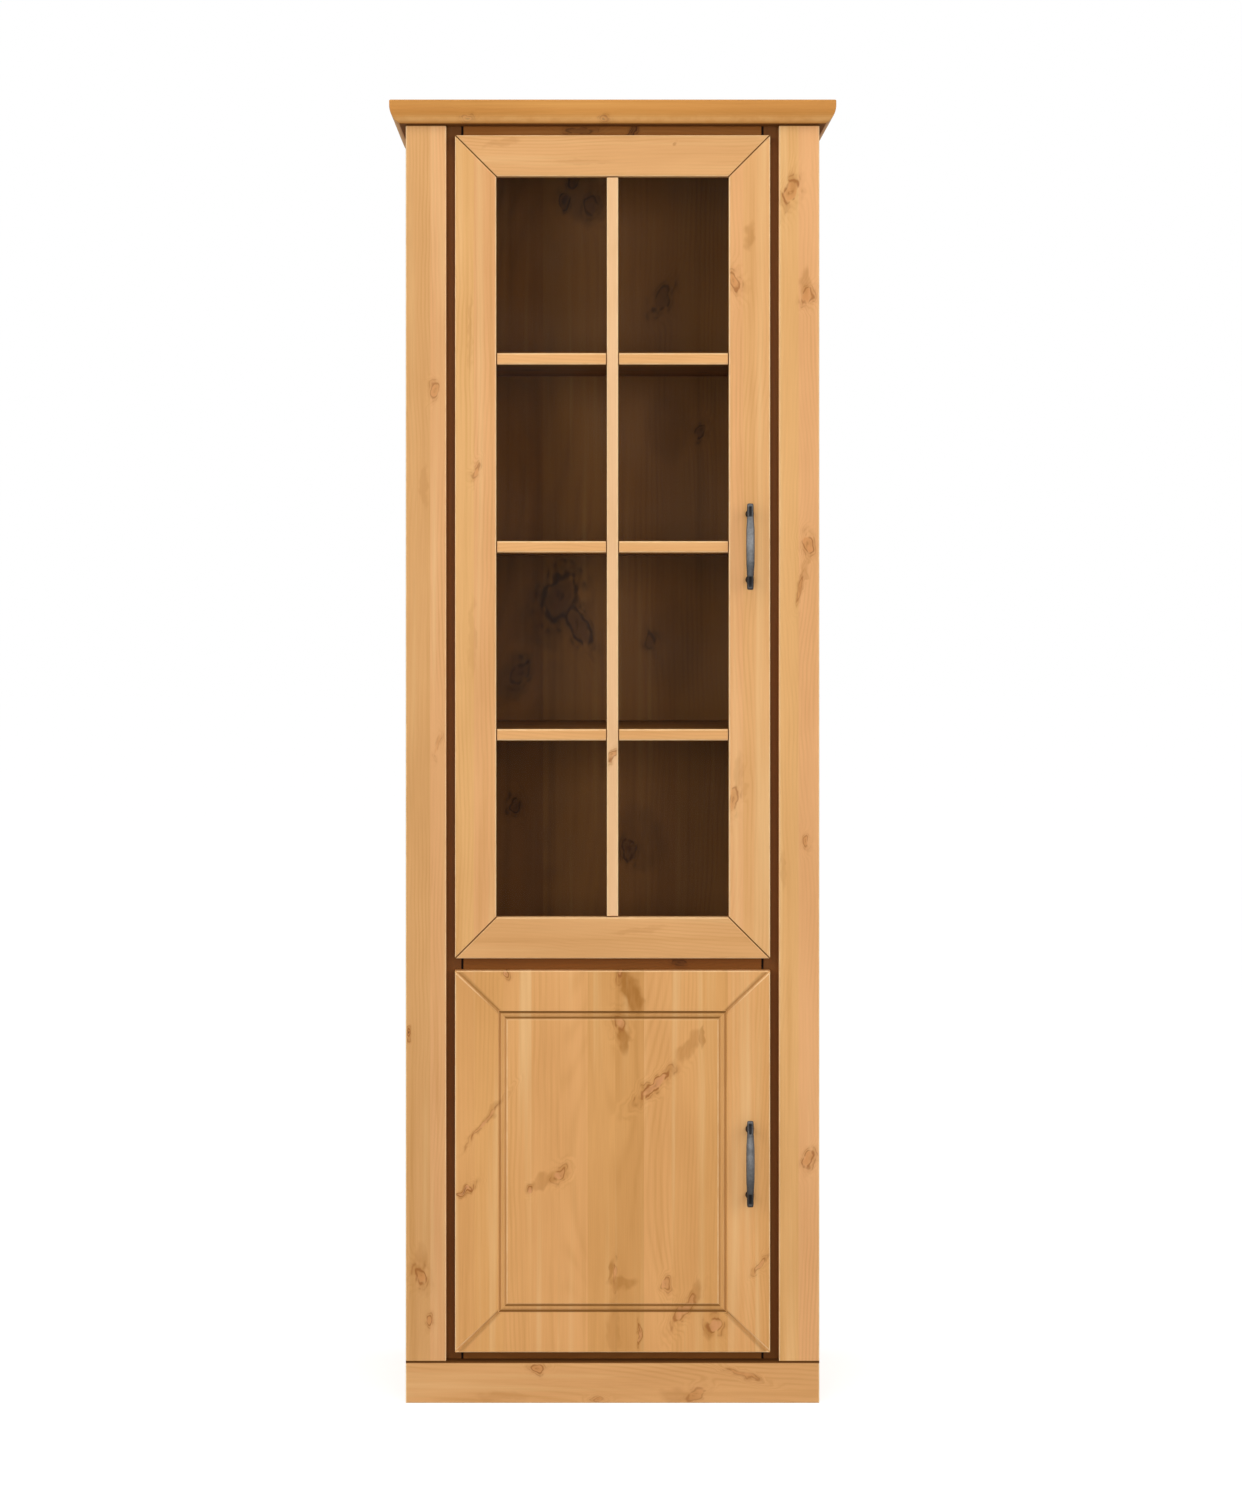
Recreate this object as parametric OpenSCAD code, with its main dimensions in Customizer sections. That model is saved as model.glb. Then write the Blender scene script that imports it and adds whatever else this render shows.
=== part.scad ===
// Tall pantry cabinet: a glazed door over a panel door, in front of a recessed face frame.
// Millimetres. X runs to the right, Y to the back and Z up. The origin is on the floor, under the
// middle of the cabinet's box, and the doors face -Y.

/* [Overall size] */
// Width of the carcass over its side panels, without the crown
body_w = 604; // [590:1:640]
// Height from the floor to the top of the crown
body_h = 1900; // [1880:1:1960]
// Depth from the front of the handles to the back
body_d = 400; // [380:1:440]

/* [Front posts and plinth] */
// Width of each front post
post_w = 59; // [56:1:62]
// Thickness of the posts and the plinth board
post_t = 24; // [24:0.5:26]
// Height of the plinth board
plinth_h = 60; // [50:1:70]
// Chamfer along the front edges of posts, doors and plinth
arris = 1.6; // [0.8:0.1:2]

/* [Crown moulding] */
// Height of the crown
crown_h = 33.5; // [30:0.5:36]
// How far the top of the crown stands out from the carcass
crown_out = 23; // [20:0.5:25]
// How far the bottom of the crown stands out from the carcass
crown_foot = 9; // [6:0.5:12]

/* [Doors] */
// Thickness of both doors
door_t = 22; // [22:0.5:22.5]
// Gap between each door and the posts
door_side_gap = 13; // [12:0.5:14]
// Gap between the plinth and the panel door
gap_low = 14; // [12:0.5:16]
// Gap between the two doors
gap_mid = 18; // [16:0.5:20]
// Gap between the glass door and the crown
gap_top = 15.5; // [15:0.5:19]
// Height of the panel door
panel_door_h = 557; // [540:1:580]
// How far the doors lap over the face frame
overlay = 10; // [9:0.5:11]
// Width of the glass door's stiles and rails
rail_w = 60; // [56:1:64]
// Width of the muntins
muntin_w = 16.5; // [15:0.5:20]
// Rows of horizontal muntins
muntin_rows = 3; // [3:1:3]
// Depth of the muntins, which rest on the glass
muntin_t = 7; // [6:0.5:8]

/* [Panel door decoration] */
// Distance from the door's side edges to the routed rectangle
routed_side = 63.5; // [60:0.5:70]
// Distance from the door's top and bottom edges to the routed rectangle
routed_end = 58.5; // [55:0.5:65]
// Depth of the grooves that run from the rectangle to the door's corners
corner_groove_depth = 1.7; // [1:0.1:2.2]

/* [Carcass] */
// Thickness of the side panels
side_t = 20; // [18:0.5:22]
// Thickness of the top, divider, bottom and shelves
board_t = 18; // [16:0.5:18]
// Thickness of the face frame
frame_t = 24; // [22:0.5:26]
// Thickness of the back panels
back_t = 6; // [5:0.5:8]
// Heights of the undersides of the three upper shelves
upper_shelf_z = [964, 1240, 1519]; // [960:1:1560]
// Height of the underside of the lower shelf
lower_shelf_z = 345; // [330:1:380]

/* [Hinges] */
// Distance from the door's edge to the middle of the hinge cups
cup_edge = 22.5; // [22.5:0.5:23.5]
// Depth of the hinge cups
cup_depth = 12; // [12:0.5:13]

/* [Handles] */
// Distance between the handle screws
handle_pitch = 96; // [96:32:96]
// Overall length of each handle
handle_l = 126; // [120:1:130]
// How far the handles stand out from the doors
handle_reach = 30; // [29:0.5:32]
// Width of the handle in the middle of the grip
handle_w_mid = 13.6; // [12:0.2:15]
// Width of the handle near its ends
handle_w_end = 9.8; // [9:0.2:11]

/* [Hidden] */

// Colours
pine = [0.86, 0.65, 0.41];
brown_pine = [0.38, 0.24, 0.13];
brown_back = [0.30, 0.18, 0.10];
pewter = [0.38, 0.38, 0.38];
nickel = [0.75, 0.75, 0.73];
steel = [0.62, 0.62, 0.62];
glass_tint = [0.8, 0.9, 0.9, 0.35];
clear_plastic = [0.85, 0.87, 0.88];
beech = [0.80, 0.66, 0.48];

// Planes from front to back
front_y = -body_d / 2 + handle_reach;
rear_y = body_d / 2;
post_back_y = front_y + post_t;
door_back_y = front_y + door_t;
frame_back_y = post_back_y + frame_t;
back_recess = 2;
back_y = rear_y - back_recess - back_t;

// Half widths
body_x = body_w / 2;
door_x = body_x - post_w - door_side_gap;
frame_x = door_x - overlay;
inner_x = body_x - side_t;
post_x = body_x - post_w;
sight_x = door_x - rail_w;

// Heights
crown_z = body_h - crown_h;
crown_lip = 12;
case_top_z = body_h - crown_lip;
low_z0 = plinth_h + gap_low;
low_z1 = low_z0 + panel_door_h;
up_z0 = low_z1 + gap_mid;
up_z1 = crown_z - gap_top;
up_mid_z = (up_z0 + up_z1) / 2;
low_mid_z = (low_z0 + low_z1) / 2;
top_panel_drop = 8;
top_panel_z = case_top_z - top_panel_drop - board_t;
divider_z = up_z0 + overlay - board_t;
bottom_z = low_z0 + overlay - board_t;
case_floor_z = [bottom_z, divider_z, top_panel_z];
frame_top_z = up_z1 - overlay;

// Crown section: a fillet at the foot, a bulging curve and a flat band with a chamfered top edge
crown_fillet = 1.5;
crown_band = 8;
crown_chamfer = 1.2;
crown_curve_start = 25;
crown_curve_step = 6.5;

// Rebates and small wood sizes
back_lap = 10;
back_gap = 1;
glass_rebate = 10;
glass_t = 4;
glass_front_y = front_y + 10;
glass_back_y = glass_front_y + glass_t;
glass_edge_gap = 1;
bead_gap = 0.2;
pane_h = up_z1 - up_z0 - 2 * rail_w;
light_h = (pane_h - muntin_rows * muntin_w) / (muntin_rows + 1);
shelf_side_gap = 1;
shelf_front_y = frame_back_y + 4;
shelf_back_y = back_y - 2;
rear_rail_t = 18;
soft_edge = 1;
muntin_arris = arris + 0.6;
bead_recess = 0.5;

// Dowels and shelf pins
dowel_r = 4;
dowel_in_side = 12;
dowel_in_board = 20;
wood_hole_play = 0.05;
end_play = 0.5;
dowel_y = [frame_back_y + 32, (frame_back_y + back_y) / 2, back_y - 32];
pin_r = 2.5;
pin_in_wood = 8;
pin_proud = 8;
pin_y = [frame_back_y + 42, back_y - 42];
pin_pitch = 32;
all_shelf_z = concat([lower_shelf_z], upper_shelf_z);
pin_rows = [-2 : 2];

// Nails of the back panels and small screws
nail_z = [120, 360, 600, 720, 960, 1200, 1440, 1680, 1840];
nail_l = 14;
nail_r = 0.9;
nail_head_r = 2.2;
nail_head_t = 0.8;
small_screw_r = 1.8;
cup_screw_l = 11;
cup_screw_head_r = 3.4;
cup_screw_head_t = 0.5;
plate_screw_l = 18;
plate_screw_head_t = 1.4;
bracket_screw_back = [18, 32];
bracket_screw_l = 14;
bracket_screw_head_t = 1.6;
pan_head_r = 3.6;

// Hinges: the cup sits in the door, the arm on the face frame, and the link joins the two
cup_r = 17.4;
cup_wall = 1;
cup_hole_play = 0.1;
cup_x = -door_x + cup_edge;
cup_flange_r = 18.6;
cup_flange_t = 1;
cup_screw_pitch = 45;
cup_screw_shift = 9.5;
cup_ear_r = 5;
glass_hinge_z = [up_z0 + 100, up_mid_z, up_z1 - 100];
panel_hinge_z = [low_z0 + 90, low_z1 - 90];
link_x = -door_x + 30;
link_y = door_back_y - 6.5;
link_l = 13;
link_pin_r = 1.5;
link_pin_play = 0.05;
link_eye_r = 3;
link_tip_r = 1.8;
link_t = 2;
link_tip_y = 0.4;
link_tip_pin_r = 1.3;
nose_half = 5;
nose_r = 3.5;
link_side_gap = 0.3;
plate_t = 2.5;
plate_half = 24;
plate_screw_pitch = 32;
arm_half = 8;
arm_w = 9;
arm_back_gap = 4;
plate_front_gap = 1;
nose_root_shift = [5, 2];
nose_root_size = [8, 6];

// Handles
handle_x = door_x - rail_w / 2;
grip_t = 6.5;
grip_sag = 6;
foot_lead = 2;
foot_r = 4.9;
foot_base_r = 6.2;
foot_base_t = 2;
screw_r = 2;
screw_door_play = 0.25;
screw_foot_play = 0.05;
screw_depth_in_foot = 12;
screw_head_r = 4;
screw_head_t = 1.6;
screw_tip_gap = 1;

// Soft dots on the doors' backs
bumper_inset = 20;
bumper_r = 4;
bumper_t = 1.7;

// Routed rectangle of the panel door, measured across from its outer edge
routed_w = 14;
bead_r = 3.5;
bead_mid = 6.2;
bead_below_face = 0.4;
bead_sink = 0.2;
quirk_d = 2.8;
quirk_slope_w = 0.9;
inner_quirk_d = 2.2;
inner_quirk_w = 0.6;
corner_groove_half_w = 4;
corner_groove_flat = 0.8;
over = 5;

// Wall brackets
bracket_x = 200;
bracket_w = 20;
bracket_t = 2;
bracket_leg = 42;
bracket_hole_r = 2.5;
bracket_hole_z = case_top_z + 2;

// Box between two opposite corners
module block(low, high) {
    translate(low) cube(high - low);
}

// Board whose edges are chamfered all round its front, which is its low Y face
module faced_board(low, high, c = arris) {
    hull() {
        block([low.x, low.y + c, low.z], high);
        block([low.x + c, low.y, low.z + c], [high.x - c, high.y, high.z - c]);
    }
}

// Cylinder along Y from a point, towards +Y
module rod_y(at, r, l, sides = 48) {
    translate(at) rotate([-90, 0, 0]) cylinder(r = r, h = l, $fn = sides);
}

// Cylinder along X from a point, towards +X
module rod_x(at, r, l, sides = 32) {
    translate(at) rotate([0, 90, 0]) cylinder(r = r, h = l, $fn = sides);
}

// Prism of an X-Z outline between two Y planes
module slab_y(y0, y1) {
    translate([0, y1, 0]) rotate([90, 0, 0]) linear_extrude(y1 - y0) children();
}

// Crown section: u is the distance out from the carcass face, v the height above the crown's foot
crown_curve_u = crown_foot + crown_fillet;
crown_curve_top = crown_h - crown_band;
function crown_bulge(a) = (sin(a) - sin(crown_curve_start)) / (1 - sin(crown_curve_start));
crown_curve = [for (a = [crown_curve_start : crown_curve_step : 90]) [
    crown_curve_u + (crown_out - crown_curve_u) * crown_bulge(a),
    crown_fillet + (crown_curve_top - crown_fillet) * (1 - cos(a) / cos(crown_curve_start))
]];

module crown_section(inner, foot_inner) {
    polygon(concat(
        [[crown_foot, 0], [crown_foot, crown_fillet]],
        crown_curve,
        [[crown_out, crown_h - crown_chamfer], [crown_out - crown_chamfer, crown_h], [-inner, crown_h]],
        [[-inner, crown_h - crown_lip], [-foot_inner, crown_h - crown_lip], [-foot_inner, 0]]
    ));
}

// Crown front: sits on the post tops and meets the returns at 45 degrees
module crown_front() {
    reach = body_x + crown_out + over;
    color(pine)
    intersection() {
        translate([-reach, front_y, crown_z])
        rotate([90, 0, 90])
        linear_extrude(2 * reach)
        mirror([1, 0]) crown_section(post_t, post_t);
        translate([0, 0, crown_z - over])
        linear_extrude(crown_h + 2 * over)
        polygon([
            [-body_x - crown_out, front_y - crown_out], [body_x + crown_out, front_y - crown_out],
            [body_x - post_t, post_back_y], [-body_x + post_t, post_back_y]
        ]);
    }
}

// Crown return along the right side: a lip over the side panel and the same face as the front
module crown_return() {
    color(pine)
    intersection() {
        translate([body_x, rear_y, crown_z])
        rotate([90, 0, 0])
        linear_extrude(rear_y - front_y + crown_out + over)
        crown_section(post_t, 0);
        translate([0, 0, crown_z - over])
        linear_extrude(crown_h + 2 * over)
        polygon([
            [body_x + crown_out, front_y - crown_out], [body_x + crown_out, rear_y],
            [body_x - post_t, rear_y], [body_x - post_t, post_back_y]
        ]);
    }
}

module crown_right() {
    crown_return();
}

module crown_left() {
    mirror([1, 0, 0]) crown_return();
}

module right_post() {
    color(pine) faced_board([post_x, front_y, plinth_h], [body_x, post_back_y, crown_z]);
}

module left_post() {
    mirror([1, 0, 0]) right_post();
}

module plinth_board() {
    color(pine) faced_board([-body_x, front_y, 0], [body_x, post_back_y, plinth_h]);
}

// Face frame: two full-height stiles with rails between them
module frame_right_stile() {
    color(brown_pine) block([frame_x, post_back_y, 0], [body_x, frame_back_y, case_top_z]);
}

module frame_left_stile() {
    mirror([1, 0, 0]) frame_right_stile();
}

module frame_rail(z0, z1) {
    color(brown_pine) block([-frame_x, post_back_y, z0], [frame_x, frame_back_y, z1]);
}

module frame_top_rail() {
    frame_rail(frame_top_z, case_top_z);
}

module frame_middle_rail() {
    frame_rail(low_z1 - overlay, up_z0 + overlay);
}

module frame_bottom_rail() {
    frame_rail(plinth_h, low_z0 + overlay);
}

// Side panel with a rebate for the back, dowel holes and shelf pin holes
module right_side_panel() {
    color(pine)
    difference() {
        block([inner_x, frame_back_y, 0], [body_x, rear_y, case_top_z]);
        block([inner_x - over, back_y, -over], [inner_x + back_lap, rear_y + over, case_top_z + over]);
        for (z = case_floor_z, y = dowel_y) {
            rod_x([inner_x - over, y, z + board_t / 2], dowel_r + wood_hole_play,
                over + dowel_in_side + end_play);
        }
        for (z = all_shelf_z, y = pin_y, row = pin_rows) {
            rod_x([inner_x - over, y, z - pin_r + row * pin_pitch], pin_r + wood_hole_play,
                over + pin_in_wood + end_play, 24);
        }
    }
}

module left_side_panel() {
    mirror([1, 0, 0]) right_side_panel();
}

// Board across the carcass, with dowel holes in both ends
module case_board(z) {
    color(brown_pine)
    difference() {
        block([-inner_x, frame_back_y, z], [inner_x, back_y, z + board_t]);
        for (side = [-1, 1], y = dowel_y) {
            rod_x([side * inner_x - dowel_in_board - end_play, y, z + board_t / 2],
                dowel_r + wood_hole_play, 2 * (dowel_in_board + end_play));
        }
    }
}

module top_panel() {
    case_board(top_panel_z);
}

module divider_panel() {
    case_board(divider_z);
}

module bottom_panel() {
    case_board(bottom_z);
}

// Back panels, which meet behind the divider
module back_panel(z0, z1) {
    half = inner_x + back_lap - back_gap;
    color(brown_back) block([-half, back_y, z0], [half, back_y + back_t, z1]);
}

module upper_back_panel() {
    back_panel(divider_z + board_t / 2 + back_gap, top_panel_z + board_t);
}

module lower_back_panel() {
    back_panel(bottom_z / 2, divider_z + board_t / 2 - back_gap);
}

module rear_plinth_rail() {
    color(brown_pine) block([-inner_x, back_y - rear_rail_t, 0], [inner_x, back_y, bottom_z]);
}

// Loose shelf on pins
module shelf(z) {
    half = inner_x - shelf_side_gap;
    color(brown_pine)
    faced_board([-half, shelf_front_y, z], [half, shelf_back_y, z + board_t], soft_edge);
}

module upper_shelf_bottom() {
    shelf(upper_shelf_z[0]);
}

module upper_shelf_middle() {
    shelf(upper_shelf_z[1]);
}

module upper_shelf_top() {
    shelf(upper_shelf_z[2]);
}

module lower_shelf() {
    shelf(lower_shelf_z);
}

// Four pins under each shelf
module shelf_pins() {
    color(nickel)
    for (z = all_shelf_z, y = pin_y, side = [0, 1]) {
        mirror([side, 0, 0])
        rod_x([inner_x - pin_proud, y, z - pin_r], pin_r, pin_proud + pin_in_wood, 24);
    }
}

module carcass_dowels() {
    color(beech)
    for (z = case_floor_z, y = dowel_y, side = [0, 1]) {
        mirror([side, 0, 0])
        rod_x([inner_x - dowel_in_board, y, z + board_t / 2], dowel_r, dowel_in_board + dowel_in_side);
    }
}

// Nails through the back panels into the rebates of the side panels
module back_nails() {
    nail_x = inner_x + back_lap / 2;
    color(steel)
    for (z = nail_z, side = [-1, 1]) {
        rod_y([side * nail_x, back_y - nail_l, z], nail_r, nail_l + back_t, 16);
        rod_y([side * nail_x, back_y + back_t, z], nail_head_r, nail_head_t, 24);
    }
}

// Angle brackets on the top panel, with a screw hole in the leg that faces the wall
module wall_brackets() {
    top_z = top_panel_z + board_t;
    color(steel)
    for (side = [-1, 1]) {
        difference() {
            union() {
                block([side * bracket_x - bracket_w / 2, rear_y - bracket_leg, top_z],
                    [side * bracket_x + bracket_w / 2, rear_y, top_z + bracket_t]);
                block([side * bracket_x - bracket_w / 2, rear_y - bracket_t, top_z],
                    [side * bracket_x + bracket_w / 2, rear_y, body_h]);
            }
            rod_y([side * bracket_x, rear_y - over, bracket_hole_z], bracket_hole_r, 2 * over);
        }
    }
}

module bracket_screws() {
    top_z = top_panel_z + board_t + bracket_t;
    color(nickel)
    for (side = [-1, 1], back = bracket_screw_back) {
        translate([side * bracket_x, rear_y - back, top_z - bracket_screw_l])
        cylinder(r = small_screw_r, h = bracket_screw_l, $fn = 20);
        translate([side * bracket_x, rear_y - back, top_z])
        cylinder(r = pan_head_r, h = bracket_screw_head_t, $fn = 32);
    }
}

// Hinge cup: a thin bowl in the door with a flange and two screw ears on the door's back
module hinge_cup(z) {
    ear_x = cup_x + cup_screw_shift;
    color(nickel)
    difference() {
        union() {
            rod_y([cup_x, door_back_y - cup_depth, z], cup_r, cup_depth, 64);
            rod_y([cup_x, door_back_y, z], cup_flange_r, cup_flange_t, 64);
            block([ear_x - cup_ear_r, door_back_y, z - cup_screw_pitch / 2],
                [ear_x + cup_ear_r, door_back_y + cup_flange_t, z + cup_screw_pitch / 2]);
            for (end = [-1, 1]) {
                rod_y([ear_x, door_back_y, z + end * cup_screw_pitch / 2], cup_ear_r, cup_flange_t);
            }
        }
        rod_y([cup_x, door_back_y - cup_depth + cup_wall, z], cup_r - cup_wall, cup_depth + over, 64);
    }
}

// Bore in the door for a hinge cup
module cup_bore(z) {
    rod_y([cup_x, door_back_y - cup_depth - cup_hole_play, z], cup_r + cup_hole_play, cup_depth + over, 64);
}

module glass_door_hinge_cups() {
    for (z = glass_hinge_z) {
        hinge_cup(z);
    }
}

module panel_door_hinge_cups() {
    for (z = panel_hinge_z) {
        hinge_cup(z);
    }
}

// Short countersunk screws through the cup ears; the heads stay below the gap to the frame
module cup_screws(heights) {
    color(steel)
    for (z = heights, end = [-1, 1]) {
        at_z = z + end * cup_screw_pitch / 2;
        rod_y([cup_x + cup_screw_shift, door_back_y - cup_screw_l, at_z],
            small_screw_r, cup_screw_l + cup_flange_t, 20);
        rod_y([cup_x + cup_screw_shift, door_back_y + cup_flange_t, at_z],
            cup_screw_head_r, cup_screw_head_t, 32);
    }
}

module glass_door_cup_screws() {
    cup_screws(glass_hinge_z);
}

module panel_door_cup_screws() {
    cup_screws(panel_hinge_z);
}

// Hinge arm: a plate on the frame's inner edge, a channel, a nose that reaches into the cup, and a pin
module hinge_arm(z) {
    channel_x = -frame_x + plate_t;
    color(nickel)
    translate([0, 0, z]) {
        block([-frame_x, post_back_y + plate_front_gap, -plate_half], [channel_x, frame_back_y, plate_half]);
        block([channel_x, post_back_y, -arm_half], [channel_x + arm_w, frame_back_y - arm_back_gap, arm_half]);
        translate([0, 0, -nose_half])
        linear_extrude(2 * nose_half)
        hull() {
            translate([link_x, link_y]) circle(r = nose_r, $fn = 32);
            translate([channel_x, post_back_y] + nose_root_shift) square(nose_root_size);
        }
        translate([link_x, link_y, -arm_half]) cylinder(r = link_pin_r, h = 2 * arm_half, $fn = 32);
    }
}

module glass_door_hinge_arms() {
    for (z = glass_hinge_z) {
        hinge_arm(z);
    }
}

module panel_door_hinge_arms() {
    for (z = panel_hinge_z) {
        hinge_arm(z);
    }
}

module hinge_plate_screws() {
    plate_x = -frame_x + plate_t;
    color(steel)
    for (z = concat(glass_hinge_z, panel_hinge_z), end = [-1, 1]) {
        at = [plate_x, post_back_y + frame_t / 2, z + end * plate_screw_pitch / 2];
        rod_x([at.x - plate_screw_l, at.y, at.z], small_screw_r, plate_screw_l, 20);
        rod_x(at, pan_head_r, plate_screw_head_t);
    }
}

// Hinge link: two side plates on the arm's pin, joined by a pin at the free end
module hinge_link(z) {
    plate_z = nose_half + link_side_gap;
    color(steel)
    translate([link_x, link_y, z]) {
        for (side = [-plate_z - link_t, plate_z]) {
            translate([0, 0, side])
            difference() {
                linear_extrude(link_t)
                hull() {
                    circle(r = link_eye_r, $fn = 32);
                    translate([-link_l, link_tip_y]) circle(r = link_tip_r, $fn = 32);
                }
                translate([0, 0, -over]) cylinder(r = link_pin_r + link_pin_play, h = 3 * over, $fn = 32);
            }
        }
        translate([-link_l, link_tip_y, -plate_z - link_t])
        cylinder(r = link_tip_pin_r, h = 2 * (plate_z + link_t), $fn = 24);
    }
}

module glass_door_hinge_links() {
    for (z = glass_hinge_z) {
        hinge_link(z);
    }
}

module panel_door_hinge_links() {
    for (z = panel_hinge_z) {
        hinge_link(z);
    }
}

// Mitred length of the glass door's frame. Its outer edge lies along X from 0 to len at Z = 0, its
// inner edge is at Z = rail_w, and its front faces -Y.
module mitred_rail(len) {
    slant = arris * sqrt(2);
    difference() {
        hull() {
            slab_y(front_y + arris, door_back_y)
            polygon([[0, 0], [len, 0], [len - rail_w, rail_w], [rail_w, rail_w]]);
            slab_y(front_y, door_back_y - 1)
            polygon([
                [arris + slant, arris], [len - arris - slant, arris],
                [len - rail_w + arris - slant, rail_w - arris], [rail_w - arris + slant, rail_w - arris]
            ]);
        }
        block([-over, glass_front_y, rail_w - glass_rebate], [len + over, door_back_y + over, rail_w + over]);
    }
}

module glass_door_bottom_rail() {
    color(pine) translate([-door_x, 0, up_z0]) mitred_rail(2 * door_x);
}

module glass_door_top_rail() {
    color(pine) translate([-door_x, 0, up_z1]) mirror([0, 0, 1]) mitred_rail(2 * door_x);
}

module glass_door_stile(len) {
    rotate([0, -90, 0]) mirror([0, 0, 1]) mitred_rail(len);
}

module glass_door_left_stile() {
    color(pine)
    difference() {
        translate([-door_x, 0, up_z0]) glass_door_stile(up_z1 - up_z0);
        for (z = glass_hinge_z) {
            cup_bore(z);
        }
    }
}

module glass_door_right_stile() {
    color(pine)
    difference() {
        mirror([1, 0, 0]) translate([-door_x, 0, up_z0]) glass_door_stile(up_z1 - up_z0);
        handle_bores(up_mid_z);
    }
}

// Muntin between two corners in X and Z, chamfered along its front
module muntin(x0, x1, z0, z1) {
    faced_board([x0, glass_front_y - muntin_t, z0], [x1, glass_front_y, z1], muntin_arris);
}

module muntin_vertical() {
    color(pine) muntin(-muntin_w / 2, muntin_w / 2, up_z0 + rail_w, up_z1 - rail_w);
}

// One row of horizontal muntins, counted from the bottom
module muntin_row(row) {
    z0 = up_z0 + rail_w + row * light_h + (row - 1) * muntin_w;
    color(pine) {
        muntin(-sight_x, -muntin_w / 2, z0, z0 + muntin_w);
        muntin(muntin_w / 2, sight_x, z0, z0 + muntin_w);
    }
}

module muntins_bottom_row() {
    muntin_row(1);
}

module muntins_middle_row() {
    muntin_row(2);
}

module muntins_top_row() {
    muntin_row(3);
}

module glass_pane() {
    edge = glass_rebate - glass_edge_gap;
    color(glass_tint)
    block([-sight_x - edge, glass_front_y, up_z0 + rail_w - edge],
        [sight_x + edge, glass_back_y, up_z1 - rail_w + edge]);
}

// Beads that hold the glass in its rebate from behind
module glass_beads() {
    z0 = up_z0 + rail_w - glass_rebate;
    z1 = up_z1 - rail_w + glass_rebate;
    half = sight_x + glass_rebate;
    bead_back_y = door_back_y - bead_recess;
    color(pine) {
        for (side = [-1, 1]) {
            block([side * half - (side > 0 ? glass_rebate : 0), glass_back_y, z0],
                [side * half + (side > 0 ? 0 : glass_rebate), bead_back_y, z1]);
        }
        for (z = [z0, z1 - glass_rebate]) {
            block([-sight_x + bead_gap, glass_back_y, z], [sight_x - bead_gap, bead_back_y, z + glass_rebate]);
        }
    }
}

// Arc in the Y-Z plane that bulges forward: depth of the grip's surface at height s above its middle
function grip_y(s, lead) = -body_d / 2 + lead + grip_sag * pow(2 * s / handle_l, 2);

// Handle: a bowed grip, wider in the middle, on two round feet with a collar and a base
module handle(z) {
    half = handle_l / 2;
    steps = [-half : handle_l / 24 : half];
    foot_front = grip_y(handle_pitch / 2, foot_lead);
    color(pewter)
    translate([handle_x, 0, z])
    difference() {
        union() {
            intersection() {
                translate([-handle_w_mid / 2, 0, 0])
                rotate([90, 0, 90])
                linear_extrude(handle_w_mid)
                polygon(concat(
                    [for (s = steps) [grip_y(s, 0), s]],
                    [for (s = steps) [grip_y(-s, grip_t), -s]]
                ));
                slab_y(-body_d / 2 - over, front_y)
                polygon(concat(
                    [for (s = steps) [handle_half_w(s), s]],
                    [for (s = steps) [-handle_half_w(-s), -s]]
                ));
            }
            for (end = [-1, 1]) {
                rod_y([0, foot_front, end * handle_pitch / 2], foot_r, front_y - foot_front, 40);
                rod_y([0, front_y - foot_base_t, end * handle_pitch / 2], foot_base_r, foot_base_t, 40);
            }
        }
        for (end = [-1, 1]) {
            rod_y([0, front_y - screw_depth_in_foot, end * handle_pitch / 2],
                screw_r + screw_foot_play, screw_depth_in_foot + over, 24);
        }
    }
}

// Half width of the grip at height s above its middle
function handle_half_w(s) =
    handle_w_end / 2 + (handle_w_mid - handle_w_end) / 2 * pow(cos(min(90, abs(s) * 180 / handle_pitch)), 1.5);

// Bores through the door for one handle's screws
module handle_bores(z) {
    for (end = [-1, 1]) {
        rod_y([handle_x, front_y - over, z + end * handle_pitch / 2],
            screw_r + screw_door_play, door_t + 2 * over, 24);
    }
}

module handle_screws(z) {
    color(steel)
    for (end = [-1, 1]) {
        at_z = z + end * handle_pitch / 2;
        rod_y([handle_x, front_y - screw_depth_in_foot + screw_tip_gap, at_z],
            screw_r, screw_depth_in_foot - screw_tip_gap + door_t, 24);
        rod_y([handle_x, door_back_y, at_z], screw_head_r, screw_head_t, 32);
    }
}

module glass_door_handle() {
    handle(up_mid_z);
}

module panel_door_handle() {
    handle(low_mid_z);
}

module glass_door_handle_screws() {
    handle_screws(up_mid_z);
}

module panel_door_handle_screws() {
    handle_screws(low_mid_z);
}

// Soft dots on the door's back at the handle side
module bumpers(z0, z1) {
    color(clear_plastic)
    for (z = [z0 + bumper_inset, z1 - bumper_inset]) {
        rod_y([door_x - overlay / 2, door_back_y, z], bumper_r, bumper_t, 32);
    }
}

module glass_door_bumpers() {
    bumpers(up_z0, up_z1);
}

module panel_door_bumpers() {
    bumpers(low_z0, low_z1);
}

// Section of the routed line: a deep quirk, a bead and a shallow quirk. u runs inwards from the
// rectangle's outer edge and d is the depth below the face.
routed_section = concat(
    [[0, -over], [0, 0], [quirk_slope_w, quirk_d], [bead_mid - bead_r, quirk_d]],
    [for (a = [160 : -20 : 20]) [bead_mid + bead_r * cos(a),
        quirk_d + bead_sink - (quirk_d - bead_below_face) * sin(a)]],
    [[bead_mid + bead_r + inner_quirk_w, inner_quirk_d], [routed_w - inner_quirk_w, 0], [routed_w, -over]]
);

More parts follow.
